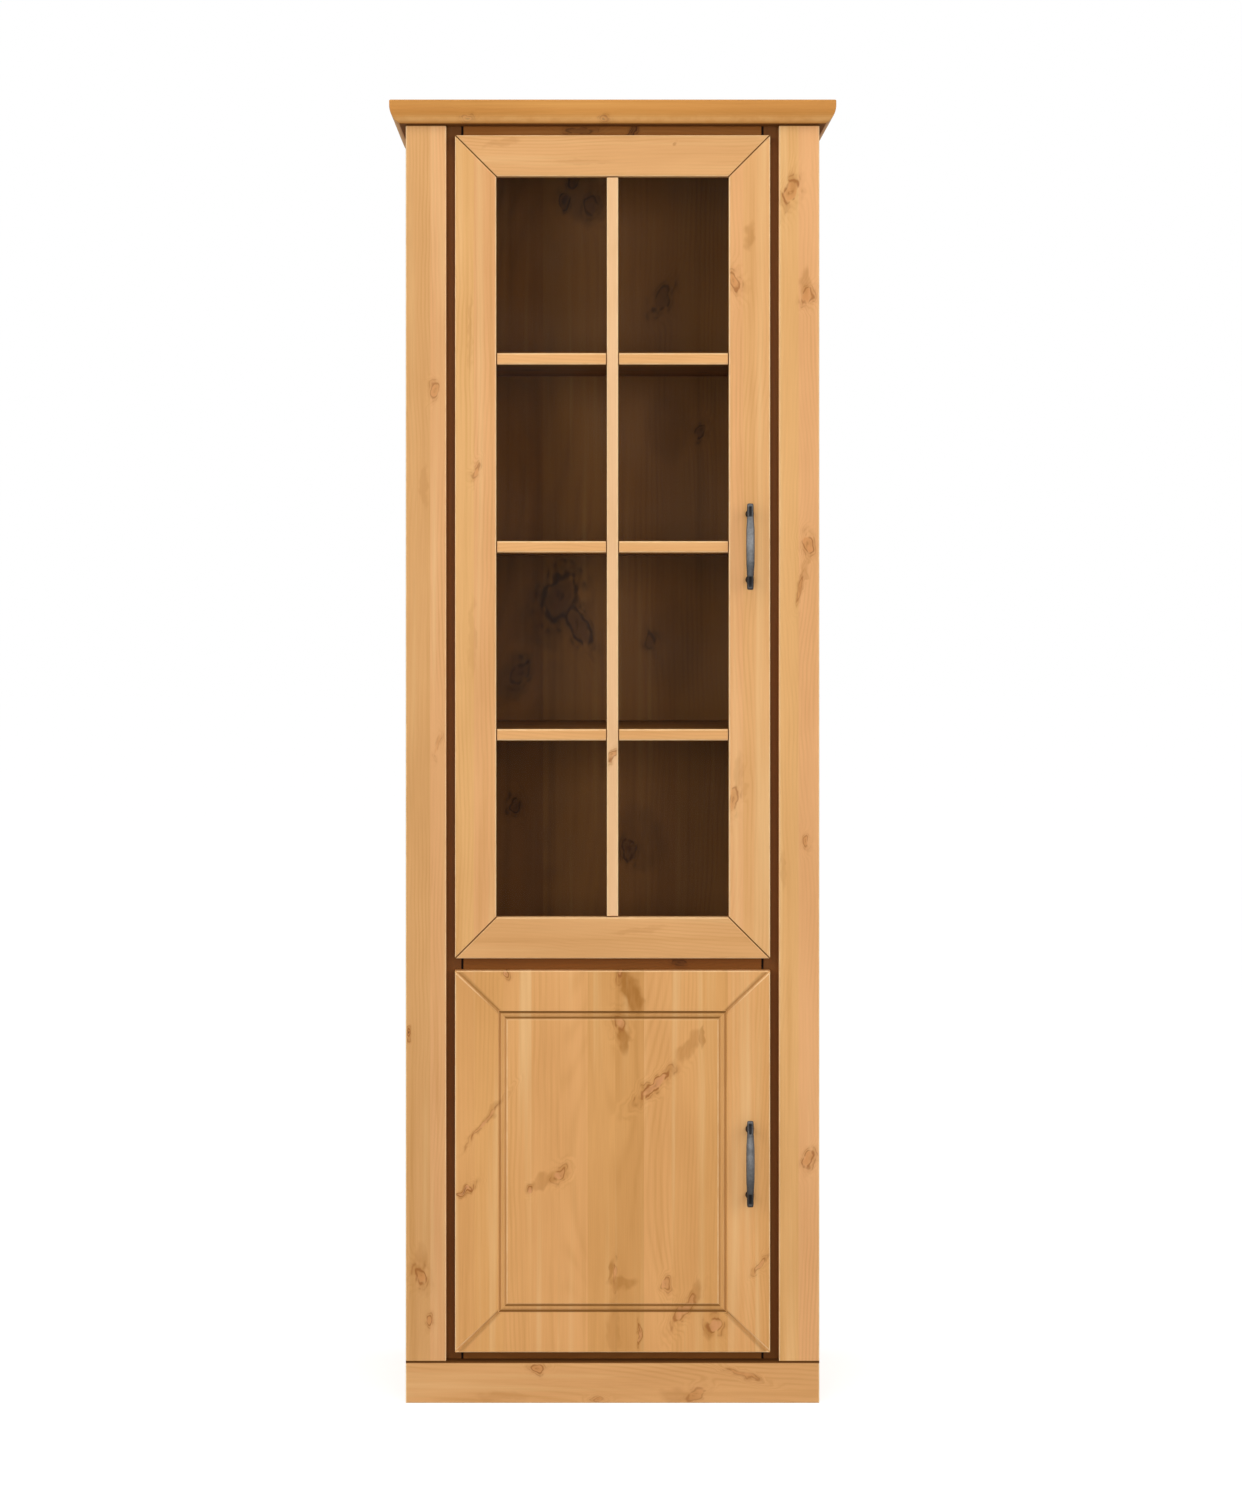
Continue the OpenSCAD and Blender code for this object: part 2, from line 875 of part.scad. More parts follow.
// One side of the routed rectangle, as long as the rectangle, cut at 45 degrees at both ends.
// It lies along X, centred, with its outer edge at Z = 0 and the rectangle below it.
module routed_side_cutter(len) {
    intersection() {
        translate([-len / 2, front_y, 0])
        rotate([90, 0, 90])
        linear_extrude(len)
        polygon([for (p = routed_section) [p[1], -p[0]]]);
        slab_y(front_y - 2 * over, front_y + 2 * over)
        polygon([
            [-len / 2, 0], [len / 2, 0],
            [len / 2 - routed_w - 1, -routed_w - 1], [-len / 2 + routed_w + 1, -routed_w - 1]
        ]);
    }
}

// Soft V groove from a corner of the routed rectangle to the door's corner
module corner_groove(from, to) {
    run = to - from;
    len = norm(run);
    translate([from.x, front_y, from.y])
    rotate([0, -atan2(run.y, run.x), 0])
    rotate([90, 0, 90])
    linear_extrude(len + 2 * over)
    polygon([
        [-over, -corner_groove_half_w - over], [corner_groove_depth, -corner_groove_flat],
        [corner_groove_depth, corner_groove_flat], [-over, corner_groove_half_w + over]
    ]);
}

module panel_door_board() {
    half_x = door_x - routed_side;
    half_z = panel_door_h / 2 - routed_end;
    color(pine)
    difference() {
        faced_board([-door_x, front_y, low_z0], [door_x, door_back_y, low_z1]);
        translate([0, 0, low_mid_z]) {
            for (up = [0, 1]) {
                mirror([0, 0, up]) translate([0, 0, half_z]) routed_side_cutter(2 * half_x);
            }
            for (right = [0, 1]) {
                mirror([right, 0, 0])
                translate([half_x, 0, 0])
                rotate([0, 90, 0])
                routed_side_cutter(2 * half_z);
            }
            for (right = [0, 1], up = [0, 1]) {
                mirror([right, 0, 0])
                mirror([0, 0, up])
                corner_groove([half_x, half_z], [door_x, panel_door_h / 2]);
            }
        }
        for (z = panel_hinge_z) {
            cup_bore(z);
        }
        handle_bores(low_mid_z);
    }
}

crown_front();
crown_left();
crown_right();
left_post();
right_post();
plinth_board();
frame_left_stile();
frame_right_stile();
frame_top_rail();
frame_middle_rail();
frame_bottom_rail();
left_side_panel();
right_side_panel();
top_panel();
divider_panel();
bottom_panel();
upper_back_panel();
lower_back_panel();
rear_plinth_rail();
upper_shelf_bottom();
upper_shelf_middle();
upper_shelf_top();
lower_shelf();
shelf_pins();
carcass_dowels();
back_nails();
wall_brackets();
bracket_screws();
glass_door_hinge_arms();
panel_door_hinge_arms();
hinge_plate_screws();
glass_door_left_stile();
glass_door_right_stile();
glass_door_top_rail();
glass_door_bottom_rail();
muntin_vertical();
muntins_top_row();
muntins_middle_row();
muntins_bottom_row();
glass_pane();
glass_beads();
glass_door_handle();
glass_door_handle_screws();
glass_door_hinge_cups();
glass_door_cup_screws();
glass_door_bumpers();
glass_door_hinge_links();
panel_door_board();
panel_door_handle();
panel_door_handle_screws();
panel_door_hinge_cups();
panel_door_cup_screws();
panel_door_bumpers();
panel_door_hinge_links();
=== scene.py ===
"""Looks of the pantry cabinet: honey pine outside, brown pine inside, glass, pewter handles.

Metres, in the CAD model's frame: X to the right, Y to the back, Z up, origin on the floor.
"""

import math
import random
from collections import namedtuple

import bmesh
import bpy
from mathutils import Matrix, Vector


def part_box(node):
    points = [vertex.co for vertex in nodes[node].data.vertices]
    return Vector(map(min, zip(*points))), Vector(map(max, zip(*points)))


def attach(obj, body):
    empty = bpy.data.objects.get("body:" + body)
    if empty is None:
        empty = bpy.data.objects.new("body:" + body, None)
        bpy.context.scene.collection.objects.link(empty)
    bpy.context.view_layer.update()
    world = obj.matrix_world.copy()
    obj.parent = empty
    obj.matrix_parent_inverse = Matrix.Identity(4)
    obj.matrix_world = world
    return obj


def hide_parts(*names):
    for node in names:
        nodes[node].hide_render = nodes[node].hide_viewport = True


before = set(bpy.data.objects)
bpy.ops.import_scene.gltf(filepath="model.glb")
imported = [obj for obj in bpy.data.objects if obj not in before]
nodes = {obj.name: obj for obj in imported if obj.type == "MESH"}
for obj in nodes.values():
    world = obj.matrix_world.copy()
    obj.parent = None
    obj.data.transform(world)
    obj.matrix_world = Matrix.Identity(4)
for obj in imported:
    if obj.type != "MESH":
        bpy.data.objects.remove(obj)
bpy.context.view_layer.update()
MM = 0.001

# ---------------------------------------------------------------- node graphs

# How far a colour ramp runs past its first and last stops
RAMP_MARGIN = 0.01
# Places of the colours among the Mix node's inputs and outputs
MIX_A = 6
MIX_B = 7
MIX_RESULT = 2


class Graph:
    """Short forms for building one material's node graph."""

    def __init__(self, name):
        self.material = bpy.data.materials.new(name)
        self.material.use_nodes = True
        self.tree = self.material.node_tree
        self.shader = self.tree.nodes["Principled BSDF"]
        self.position = self.add("ShaderNodeTexCoord").outputs["Object"]

    def add(self, kind, **settings):
        made = self.tree.nodes.new(kind)
        for key, value in settings.items():
            setattr(made, key, value)
        return made

    def feed(self, socket, value):
        """Links a socket or sets a plain value."""
        if isinstance(value, bpy.types.NodeSocket):
            self.tree.links.new(value, socket)
        elif hasattr(value, "__len__") and len(value) == 3 and len(socket.default_value) == 4:
            socket.default_value = (*value, 1.0)
        else:
            socket.default_value = value

    def math(self, operation, a, b=None, c=None, clamp=False):
        made = self.add("ShaderNodeMath", operation=operation, use_clamp=clamp)
        for socket, value in zip(made.inputs, (a, b, c)):
            if value is not None:
                self.feed(socket, value)
        return made.outputs[0]

    def plus(self, a, b, clamp=False):
        return self.math("ADD", a, b, clamp=clamp)

    def minus(self, a, b):
        return self.math("SUBTRACT", a, b)

    def times(self, a, b, clamp=False):
        return self.math("MULTIPLY", a, b, clamp=clamp)

    def times_plus(self, a, b, c, clamp=False):
        return self.math("MULTIPLY_ADD", a, b, c, clamp)

    def absolute(self, value):
        return self.math("ABSOLUTE", value)

    def swing(self, base, noise, amount):
        """base, pushed up or down as noise lies above or below 0.5."""
        return self.times_plus(self.minus(noise, 0.5), amount, base)

    def vector(self, x, y, z):
        made = self.add("ShaderNodeCombineXYZ")
        for socket, value in zip(made.inputs, (x, y, z)):
            self.feed(socket, value)
        return made.outputs[0]

    def split(self, vector):
        made = self.add("ShaderNodeSeparateXYZ")
        self.feed(made.inputs[0], vector)
        return made.outputs[0], made.outputs[1], made.outputs[2]

    def noise(self, vector, scale=1.0, detail=2.0, roughness=0.5):
        made = self.add("ShaderNodeTexNoise")
        self.feed(made.inputs["Vector"], vector)
        made.inputs["Scale"].default_value = scale
        made.inputs["Detail"].default_value = detail
        made.inputs["Roughness"].default_value = roughness
        return made.outputs["Fac"]

    def random(self, value):
        made = self.add("ShaderNodeTexWhiteNoise", noise_dimensions="1D")
        self.feed(made.inputs["W"], value)
        return made.outputs["Value"]

    def remap(self, value, low, high, to_low=0.0, to_high=1.0, smooth=True):
        """Carries low..high over to to_low..to_high, and holds the ends beyond that."""
        made = self.add("ShaderNodeMapRange", interpolation_type="SMOOTHSTEP" if smooth else "LINEAR")
        for socket, given in zip(made.inputs, (value, low, high, to_low, to_high)):
            self.feed(socket, given)
        return made.outputs[0]

    def near(self, value, target, half, soft):
        """1 where value is within half of target, fading out over soft."""
        off = self.absolute(self.minus(value, target))
        return self.remap(off, half, half + soft, 1.0, 0.0)

    def steps(self, value, starts):
        """Holds each (start, red, green) from its start up to the next one's."""
        low = starts[0][0] - RAMP_MARGIN
        high = starts[-1][0] + RAMP_MARGIN
        made = self.add("ShaderNodeValToRGB")
        ramp = made.color_ramp
        ramp.interpolation = "CONSTANT"
        while len(ramp.elements) < len(starts):
            ramp.elements.new(1.0)
        for element, (start, red, green) in zip(ramp.elements, starts):
            element.position = (start - low) / (high - low)
            element.color = (red, green, 0.0, 1.0)
        self.feed(made.inputs[0], self.remap(value, low, high, smooth=False))
        return made.outputs["Color"]

    def mix(self, amount, a, b, blend="MIX"):
        made = self.add("ShaderNodeMix", data_type="RGBA", blend_type=blend)
        self.feed(made.inputs[0], amount)
        self.feed(made.inputs[MIX_A], a)
        self.feed(made.inputs[MIX_B], b)
        return made.outputs[MIX_RESULT]

    def bump(self, height, distance, strength=1.0):
        made = self.add("ShaderNodeBump")
        made.inputs["Strength"].default_value = strength
        made.inputs["Distance"].default_value = distance
        self.feed(made.inputs["Height"], height)
        self.feed(self.shader.inputs["Normal"], made.outputs[0])


# ---------------------------------------------------------------- wood

# How a board's grain lies: which axis runs along it, which across its face, and which into it
ALONG_Z = (2, 0, 1)
ALONG_Z_SIDE = (2, 1, 0)
ALONG_X = (0, 2, 1)
ALONG_Y = (1, 2, 0)
ALONG_X_FLAT = (0, 1, 2)

# One board's coordinates in that order, and the seed of its figure
Board = namedtuple("Board", "along across depth seed")

# Colours of a finish: plain wood, its warmer strips and paler streaks, the dark late wood, the shade
# round a knot, a knot's reddish heart, its outline, its darkest spot, the darkening (stain along joints,
# painted shade in grooves and under overhangs), and the painted highlight on rounded edges. Gloss is the
# specular level, and roughness goes from the first value to the second.
HONEY = {
    "plain": (0.715, 0.390, 0.142),
    "warm": (0.745, 0.382, 0.162),
    "pale": (0.800, 0.500, 0.225),
    "late": (0.560, 0.268, 0.072),
    "shade": (0.400, 0.165, 0.032),
    "heart": (0.610, 0.255, 0.080),
    "line": (0.320, 0.100, 0.022),
    "spot": (0.110, 0.038, 0.014),
    "darkening": (0.150, 0.058, 0.012),
    "edge": (1.000, 0.700, 0.380),
    "gloss": 0.12,
    "roughness": (0.40, 0.54),
}
PALE_HONEY = dict(
    HONEY, plain=(0.800, 0.510, 0.255), warm=(0.820, 0.490, 0.270), late=(0.690, 0.390, 0.165))
PANEL_HONEY = dict(
    HONEY, plain=(0.715, 0.368, 0.122), warm=(0.725, 0.362, 0.138), heart=(0.665, 0.300, 0.130),
    darkening=(0.250, 0.112, 0.026))
# A darker, more orange copy of the honey finish for the crown: painted shade, as its faces look down, with a
# dimmer edge highlight.
CROWN_SHADED_HONEY = dict(
    HONEY, plain=(0.580, 0.262, 0.058), warm=(0.590, 0.252, 0.062), pale=(0.650, 0.325, 0.085),
    late=(0.520, 0.225, 0.050), edge=(0.800, 0.450, 0.165))
BROWN = {
    "plain": (0.262, 0.106, 0.0215),
    "warm": (0.266, 0.100, 0.023),
    "pale": (0.320, 0.145, 0.036),
    "late": (0.175, 0.066, 0.013),
    "shade": (0.070, 0.024, 0.006),
    "heart": (0.120, 0.044, 0.014),
    "line": (0.034, 0.012, 0.004),
    "spot": (0.018, 0.006, 0.003),
    "darkening": (0.012, 0.005, 0.003),
    "edge": (0.200, 0.085, 0.030),
    "gloss": 0.08,
    "roughness": (0.42, 0.56),
}
GAP_BROWN = dict(
    BROWN, plain=(0.268, 0.098, 0.017), warm=(0.270, 0.094, 0.019), pale=(0.340, 0.155, 0.040),
    late=(0.185, 0.064, 0.010), shade=(0.110, 0.036, 0.009), edge=(0.260, 0.105, 0.030))
# A darker copy of the rails' finish for the stiles' faces in the upright gaps: painted shade.
STILE_SHADED_BROWN = dict(
    GAP_BROWN, plain=(0.214, 0.078, 0.0136), warm=(0.216, 0.075, 0.0152), pale=(0.272, 0.124, 0.032),
    late=(0.148, 0.051, 0.008))

# Growth rings, in metres: their pitch, how far the pith may lie off the board's middle and behind its
# face, how far slow and quick noise shift it, and how far a knot pushes the rings outwards
RING_PITCH = 0.0052
PITH_ACROSS = (-0.05, 0.05)
PITH_BEHIND = (0.045, 0.09)
SLOW_SHIFT = 0.085
SLOW_SHIFT_BEHIND = -0.06
QUICK_SHIFT = 0.012
KNOT_SWELL = 0.016
# How far noise bends a knot's outline, in metres
BEND_ACROSS = 0.016
BEND_ALONG = 0.026
# How much the figure differs from one glued strip to the next, and how far that moves the rings
STRIP_SHIFT = 7.0
STRIP_SHIFT_ACROSS = 0.017
# How strongly late wood, pale streaks and dark streaks colour the wood
LATE_SHOWS = 0.34
PALE_SHOWS = 0.65
DARK_SHOWS = 0.42
# How far fibres, clouds and glued strips swing the brightness
FIBRE_SWING = 0.13
CLOUD_SWING = 0.30
STRIP_SWING = 0.22
# Darker wood is also redder: green and blue follow the brightness at these powers
GREEN_POWER = 1.3
BLUE_POWER = 1.9
# A distance that stands for no knot, and how far out a knot still counts, both in knot sizes
NO_KNOT = 9.0
KNOT_REACH = 3.2
# How strongly the halo, heart, whorl, outline and dark spot of a knot colour the wood
HALO_SHOWS = 0.66
HEART_SHOWS = 0.95
WHORL_SHOWS = 0.7
LINE_SHOWS = 0.90
SPOT_SHOWS = 0.9
# Height of the grain's relief, in metres, how much of it shows, and the shares in it of late wood and
# fibres, which rise, and of hearts, which sink
RELIEF = 0.00020
RELIEF_SHOWS = 0.6
LATE_RISES = 0.5
FIBRE_RISES = 0.8
HEART_SINKS = 0.8
# Late wood is smoother, and the darkened parts, stain with painted shade, are rougher and hide the painted
# edge highlight
LATE_SMOOTHS = 0.3
DARKENING_ROUGHENS = 0.35
DARKENING_HIDES_HIGHLIGHT = 3.0


def grain_noise(g, board, per_along, per_across, third, detail=2.0):
    """Noise drawn out along the grain. third tells one layer's noise from another's."""
    stretched = g.vector(g.times(board.along, per_along), g.times(board.across, per_across), third)
    return g.noise(stretched, 1.0, detail)


def bent_board(g, board):
    """The board with its coordinates bent, so that knots get uneven outlines."""
    along_noise = grain_noise(g, board, 42.0, 62.0, board.seed, 1.6)
    across_noise = grain_noise(g, board, 50.0, 58.0, board.seed + 3.0, 1.6)
    return board._replace(across=g.swing(board.across, across_noise, BEND_ACROSS),
                          along=g.swing(board.along, along_noise, BEND_ALONG))


def ellipse(g, board, centre_across, centre_along, half_w, half_l, lean):
    """Distance from an ellipse's centre, 1 on its outline."""
    tilt = math.radians(lean)
    up = g.minus(board.along, centre_along)
    off = g.minus(board.across, centre_across)
    run = g.times_plus(up, math.cos(tilt) / half_l, g.times(off, math.sin(tilt) / half_l))
    side = g.times_plus(off, math.cos(tilt) / half_w, g.times(up, -math.sin(tilt) / half_w))
    return g.math("SQRT", g.times_plus(run, run, g.times(side, side)))


def knot_field(g, board, knots):
    """Distance to the nearest knot in knot sizes, and how dark that knot is."""
    nearest = NO_KNOT
    dark = 0.0
    for *shape, darkness in knots:
        distance = ellipse(g, board, *shape)
        dark = g.math("MAXIMUM", dark, g.times(g.math("LESS_THAN", distance, KNOT_REACH), darkness))
        nearest = g.math("MINIMUM", nearest, distance)
    return nearest, dark


def smears(g, board, shades):
    """Soft darker patches."""
    total = 0.0
    for *shape, darkness in shades:
        patch = g.remap(ellipse(g, board, *shape), 0.55, 1.15, darkness, 0.0)
        total = g.math("MAXIMUM", total, patch)
    return total


def edge_highlight_mask(g):
    """Painted highlight on rounded and chamfered edges, broken up by noise: 0 on flat faces."""
    normal = g.add("ShaderNodeTexCoord").outputs["Normal"]
    nx, ny, nz = (g.absolute(part) for part in g.split(normal))
    most = g.math("MAXIMUM", nx, g.math("MAXIMUM", ny, nz))
    rubbed_and_lit = g.noise(g.position, 55.0, 3.0, 0.6)
    # Level edges get less of the painted highlight than upright ones, which the side lamps light most.
    upright = g.remap(nz, 0.2, 0.6, 1.0, 0.70)
    wear_and_light = g.times(g.remap(most, 0.74, 0.95, 1.0, 0.0), g.remap(rubbed_and_lit, 0.3, 0.65, 0.6, 1.0))
    return g.times(wear_and_light, upright)


def glued_strips(g, board, strips, stave):
    """Tone and warmth of the strips that a board is glued from, and how each shifts the figure."""
    if strips:
        tone, warmth, _ = g.split(g.steps(board.across, strips))
        pattern = g.random(g.times_plus(tone, 11.0, board.seed))
    elif stave:
        index = g.math("FLOOR", g.math("DIVIDE", board.across, stave))
        tone = g.random(g.plus(index, board.seed * 3.7))
        warmth = g.random(g.plus(index, board.seed * 5.1 + 7.0))
        pattern = g.random(g.plus(index, board.seed * 1.9 + 40.0))
    else:
        return 0.5, 0.5, 0.0
    return tone, warmth, g.times(pattern, STRIP_SHIFT)


def late_wood(g, board, shift, swell):
    """The dark part of growth rings round a pith behind the face, which wanders along the board."""
    pick = random.Random(board.seed)
    pith_across = pick.uniform(*PITH_ACROSS)
    pith_behind = pick.uniform(*PITH_BEHIND)
    slow = g.noise(g.vector(g.times(board.along, 1.7), g.plus(board.seed * 2.3, shift), 0.0), 1.0, 1.0)
    quick = grain_noise(g, board, 7.0, 18.0, board.seed)
    off = g.plus(g.plus(board.across, g.times(shift, STRIP_SHIFT_ACROSS)), pith_across)
    off = g.swing(g.swing(off, slow, SLOW_SHIFT), quick, QUICK_SHIFT)
    behind = g.swing(g.plus(board.depth, pith_behind), slow, SLOW_SHIFT_BEHIND)
    radius = g.math("SQRT", g.plus(g.times(off, off), g.times(behind, behind)))
    rings = g.math("SINE", g.times(g.plus(radius, swell), 2 * math.pi / RING_PITCH))
    late = g.math("POWER", g.times_plus(rings, 0.5, 0.5), 2.0)
    fade = grain_noise(g, board, 3.0, 24.0, board.seed + 5.0, 1.0)
    return g.times(late, g.remap(fade, 0.35, 0.7, 0.15, 1.0))


def deepened(g, bright, tone):
    """Factors on red, green and blue for a brightness."""
    green = g.math("POWER", bright, GREEN_POWER)
    blue = g.math("POWER", bright, BLUE_POWER)
    return g.vector(g.times(bright, tone), g.times(green, tone), g.times(blue, tone))


def knots_over(g, board, knot, dark, colour, tint):
    """Adds each knot's halo, heart, outline, whorl and dark spot. Also returns the hearts' mask."""
    wisps = grain_noise(g, board, 48.0, 90.0, board.seed + 1.0, 1.5)
    halo = g.times(g.remap(knot, 0.7, 2.6, 1.0, 0.0), g.remap(wisps, 0.35, 0.62, 0.15, 1.0))
    colour = g.mix(g.times(g.times(halo, dark), HALO_SHOWS), colour, tint("shade"))
    heart = g.remap(knot, 0.55, 1.05, 1.0, 0.0)
    blush = g.times(heart, g.remap(wisps, 0.32, 0.6, 1.0, 0.45))
    colour = g.mix(g.times(g.times(blush, dark), HEART_SHOWS), colour, tint("heart"))
    rim = g.remap(g.absolute(g.minus(knot, 0.98)), 0.03, 0.26, 1.0, 0.0)
    rim = g.times(rim, g.remap(g.times_plus(dark, 0.10, wisps), 0.40, 0.56))
    whorl = g.times_plus(g.math("SINE", g.times(knot, 9.0)), 0.5, 0.5)
    whorl = g.times(g.math("POWER", whorl, 4.0), g.remap(wisps, 0.45, 0.62))
    whorl = g.times(g.times(whorl, g.remap(knot, 1.4, 2.4, 1.0, 0.0)), WHORL_SHOWS)
    lines = g.times(g.math("MAXIMUM", rim, whorl), dark)
    colour = g.mix(g.times(lines, LINE_SHOWS), colour, tint("line"))
    spot = g.times(g.remap(knot, 0.15, 0.7, 1.0, 0.0), g.remap(dark, 0.80, 1.0))
    colour = g.mix(g.times(spot, SPOT_SHOWS), colour, tint("spot"))
    return colour, heart


def wood(name, finish, grain, seed, knots=(), shades=(), strips=None, stave=None, figure=1.0, tone=1.0,
         darkening=None, inside=None):
    """Knotty pine.

    grain is one of the ALONG tuples, and seed settles the random part of the figure.
    knots and shades are (across, along, half width, half length, lean in degrees, darkness), in metres.
    strips are (start across, tone, warmth) of the glued strips of one board, or stave is their width.
    figure is how strong rings, streaks and clouds are, and tone a factor on the brightness.
    The argument before inside makes the mask of darkening: stain along joints, and painted shade in
    grooves, under the crown and on the plinth's top edge. inside is the mask of the faces with another
    finish, and that finish.
    """
    g = Graph(name)
    axes = g.split(g.position)
    board = Board(*(axes[i] for i in grain), seed)
    inner = inside[0](g) if inside else None

    def tint(key):
        return g.mix(inner, finish[key], inside[1][key]) if inside else finish[key]

    strip_tone, warmth, shift = glued_strips(g, board, strips, stave)
    bent = bent_board(g, board) if knots or shades else None
    knot, dark = knot_field(g, bent, knots) if knots else (NO_KNOT, 0.0)
    swell = g.times(g.remap(knot, 0.4, 3.6, 1.0, 0.0), KNOT_SWELL) if knots else 0.0
    late = late_wood(g, board, shift, swell)
    hair = g.vector(g.times(board.along, 14.0), g.times(board.across, 900.0), g.times(board.depth, 900.0))
    fibre = g.noise(hair, 1.0, 2.0, 0.6)
    streak = grain_noise(g, board, 1.4, 60.0, g.plus(seed, shift))
    cloud = grain_noise(g, board, 3.6, 13.0, seed + 9.0, 3.0)

    colour = g.mix(warmth, tint("plain"), tint("warm"))
    colour = g.mix(g.times(late, LATE_SHOWS * figure), colour, tint("late"))
    colour = g.mix(g.remap(streak, 0.52, 0.78, 0.0, PALE_SHOWS * figure), colour, tint("pale"))
    colour = g.mix(g.remap(streak, 0.22, 0.46, DARK_SHOWS * figure, 0.0), colour, tint("late"))
    bright = g.swing(g.swing(1.0, fibre, FIBRE_SWING), cloud, CLOUD_SWING * figure)
    bright = g.swing(bright, strip_tone, STRIP_SWING)
    colour = g.mix(1.0, colour, deepened(g, bright, tone), "MULTIPLY")
    if shades:
        blur = grain_noise(g, board, 30.0, 130.0, seed + 2.0)
        patch = g.times(smears(g, bent, shades), g.remap(blur, 0.25, 0.65, 0.70, 1.0))
        colour = g.mix(patch, colour, tint("shade"))
    heart = 0.0
    if knots:
        colour, heart = knots_over(g, board, knot, dark, colour, tint)
    # Painted highlight along rounded and chamfered edges, in the finish's edge colour.
    edge_shine = edge_highlight_mask(g)
    # Darkening: stain along joints, and painted shade in grooves, under the crown and on the plinth's top
    # edge. It hides the painted edge highlight.
    if darkening:
        dark_mask = darkening(g)
        edge_shine = g.times(edge_shine, g.times_plus(dark_mask, -DARKENING_HIDES_HIGHLIGHT, 1.0, clamp=True))
        colour = g.mix(dark_mask, colour, tint("darkening"))
    colour = g.mix(edge_shine, colour, tint("edge"))
    g.feed(g.shader.inputs["Base Color"], colour)

    low, high = finish["roughness"]
    rough = g.remap(g.plus(fibre, g.times(late, -LATE_SMOOTHS)), 0.2, 0.8, low, high)
    if darkening:
        rough = g.times_plus(dark_mask, DARKENING_ROUGHENS, rough, clamp=True)
    g.feed(g.shader.inputs["Roughness"], rough)
    g.shader.inputs["Specular IOR Level"].default_value = finish["gloss"]
    height = g.times_plus(late, LATE_RISES, g.times(fibre, FIBRE_RISES))
    g.bump(g.times_plus(heart, -HEART_SINKS, height), RELIEF, RELIEF_SHOWS)
    return g.material


# ---------------------------------------------------------------- other materials


def metal(name, colour, roughness, blotch_scale=220.0, contrast=0.25, bump=0.00008):
    """Metal with faint blotches in its colour and roughness."""
    g = Graph(name)
    blotch = g.noise(g.position, blotch_scale, 4.0, 0.6)
    fine = g.noise(g.position, blotch_scale * 7.0, 2.0)
    dim = tuple(c * (1.0 - contrast) for c in colour)
    lit = tuple(min(1.0, c * (1.0 + contrast)) for c in colour)
    g.feed(g.shader.inputs["Base Color"], g.mix(g.remap(blotch, 0.3, 0.7), dim, lit))
    g.shader.inputs["Metallic"].default_value = 1.0
    g.feed(g.shader.inputs["Roughness"], g.remap(fine, 0.2, 0.8, roughness - 0.07, roughness + 0.09))
    g.bump(g.times_plus(fine, 0.3, blotch), bump)
    return g.material


def pewter():
    """Antique pewter: dark where the mesh's attribute of wear and painted shade is low, lighter where it is
    high.
    """
    g = Graph("antique_pewter")
    wear_and_light = g.add("ShaderNodeAttribute", attribute_name="wear_and_light").outputs["Fac"]
    blotch = g.noise(g.position, 260.0, 4.0, 0.65)
    fine = g.noise(g.position, 1800.0, 3.0)
    # The attribute holds wear, and painted shade on the grip's lower part.
    rubbed_and_lit = g.times(wear_and_light, g.remap(blotch, 0.25, 0.75, 0.75, 1.1), clamp=True)
    g.feed(g.shader.inputs["Base Color"], g.mix(rubbed_and_lit, (0.018, 0.017, 0.018), (0.225, 0.222, 0.220)))
    g.shader.inputs["Metallic"].default_value = 0.85
    g.feed(g.shader.inputs["Roughness"], g.remap(fine, 0.2, 0.8, 0.34, 0.52))
    g.bump(g.times_plus(fine, 0.4, blotch), 0.00012)
    return g.material


def glass():
    """Clear float glass: see-through, with a mirror that grows at low angles."""
    g = Graph("float_glass")
    g.shader.inputs["Metallic"].default_value = 1.0
    speck = g.noise(g.position, 700.0, 2.0)
    film = g.noise(g.position, 9.0, 3.0)
    g.feed(g.shader.inputs["Base Color"], g.mix(film, (0.86, 0.93, 0.90), (0.93, 0.97, 0.95)))
    g.feed(g.shader.inputs["Roughness"], g.remap(speck, 0.3, 0.8, 0.015, 0.05))
    mirror = g.add("ShaderNodeFresnel")
    mirror.inputs["IOR"].default_value = 1.10
    dust = g.remap(film, 0.3, 0.75, 0.0, 0.004)
    g.feed(g.shader.inputs["Alpha"], g.plus(mirror.outputs[0], dust, clamp=True))
    return g.material


def plastic():
    """Soft clear plastic with a fine grain."""
    g = Graph("clear_plastic")
    speck = g.noise(g.position, 1500.0, 3.0)
    g.feed(g.shader.inputs["Base Color"], g.mix(speck, (0.72, 0.74, 0.74), (0.86, 0.88, 0.88)))
    g.feed(g.shader.inputs["Roughness"], g.remap(speck, 0.2, 0.8, 0.3, 0.45))
    g.bump(speck, 0.00005)
    return g.material


# ---------------------------------------------------------------- mesh helpers and handles


def new_object(name, mesh_data):
    made = bpy.data.objects.new(name, mesh_data)
    bpy.context.scene.collection.objects.link(made)
    return made


def loft(bm, sections, wear_layer, wear_and_light):
    """Skins rings of points in order and closes both ends. The last argument gives each point's value of
    wear with painted shade.
    """
    rings = []
    for points, values in zip(sections, wear_and_light):
        ring = [bm.verts.new(p) for p in points]
        for vert, value in zip(ring, values):
            vert[wear_layer] = value
        rings.append(ring)
    count = len(rings[0])
    for low, high in zip(rings, rings[1:]):
        for i in range(count):
            j = (i + 1) % count
            bm.faces.new((low[i], low[j], high[j], high[i]))
    bm.faces.new(list(reversed(rings[0])))
    bm.faces.new(rings[-1])


def ease(a, b, t):
    """Smooth step from a to b as t goes from 0 to 1."""
    t = max(0.0, min(1.0, t))
    return a + (b - a) * t * t * (3 - 2 * t)


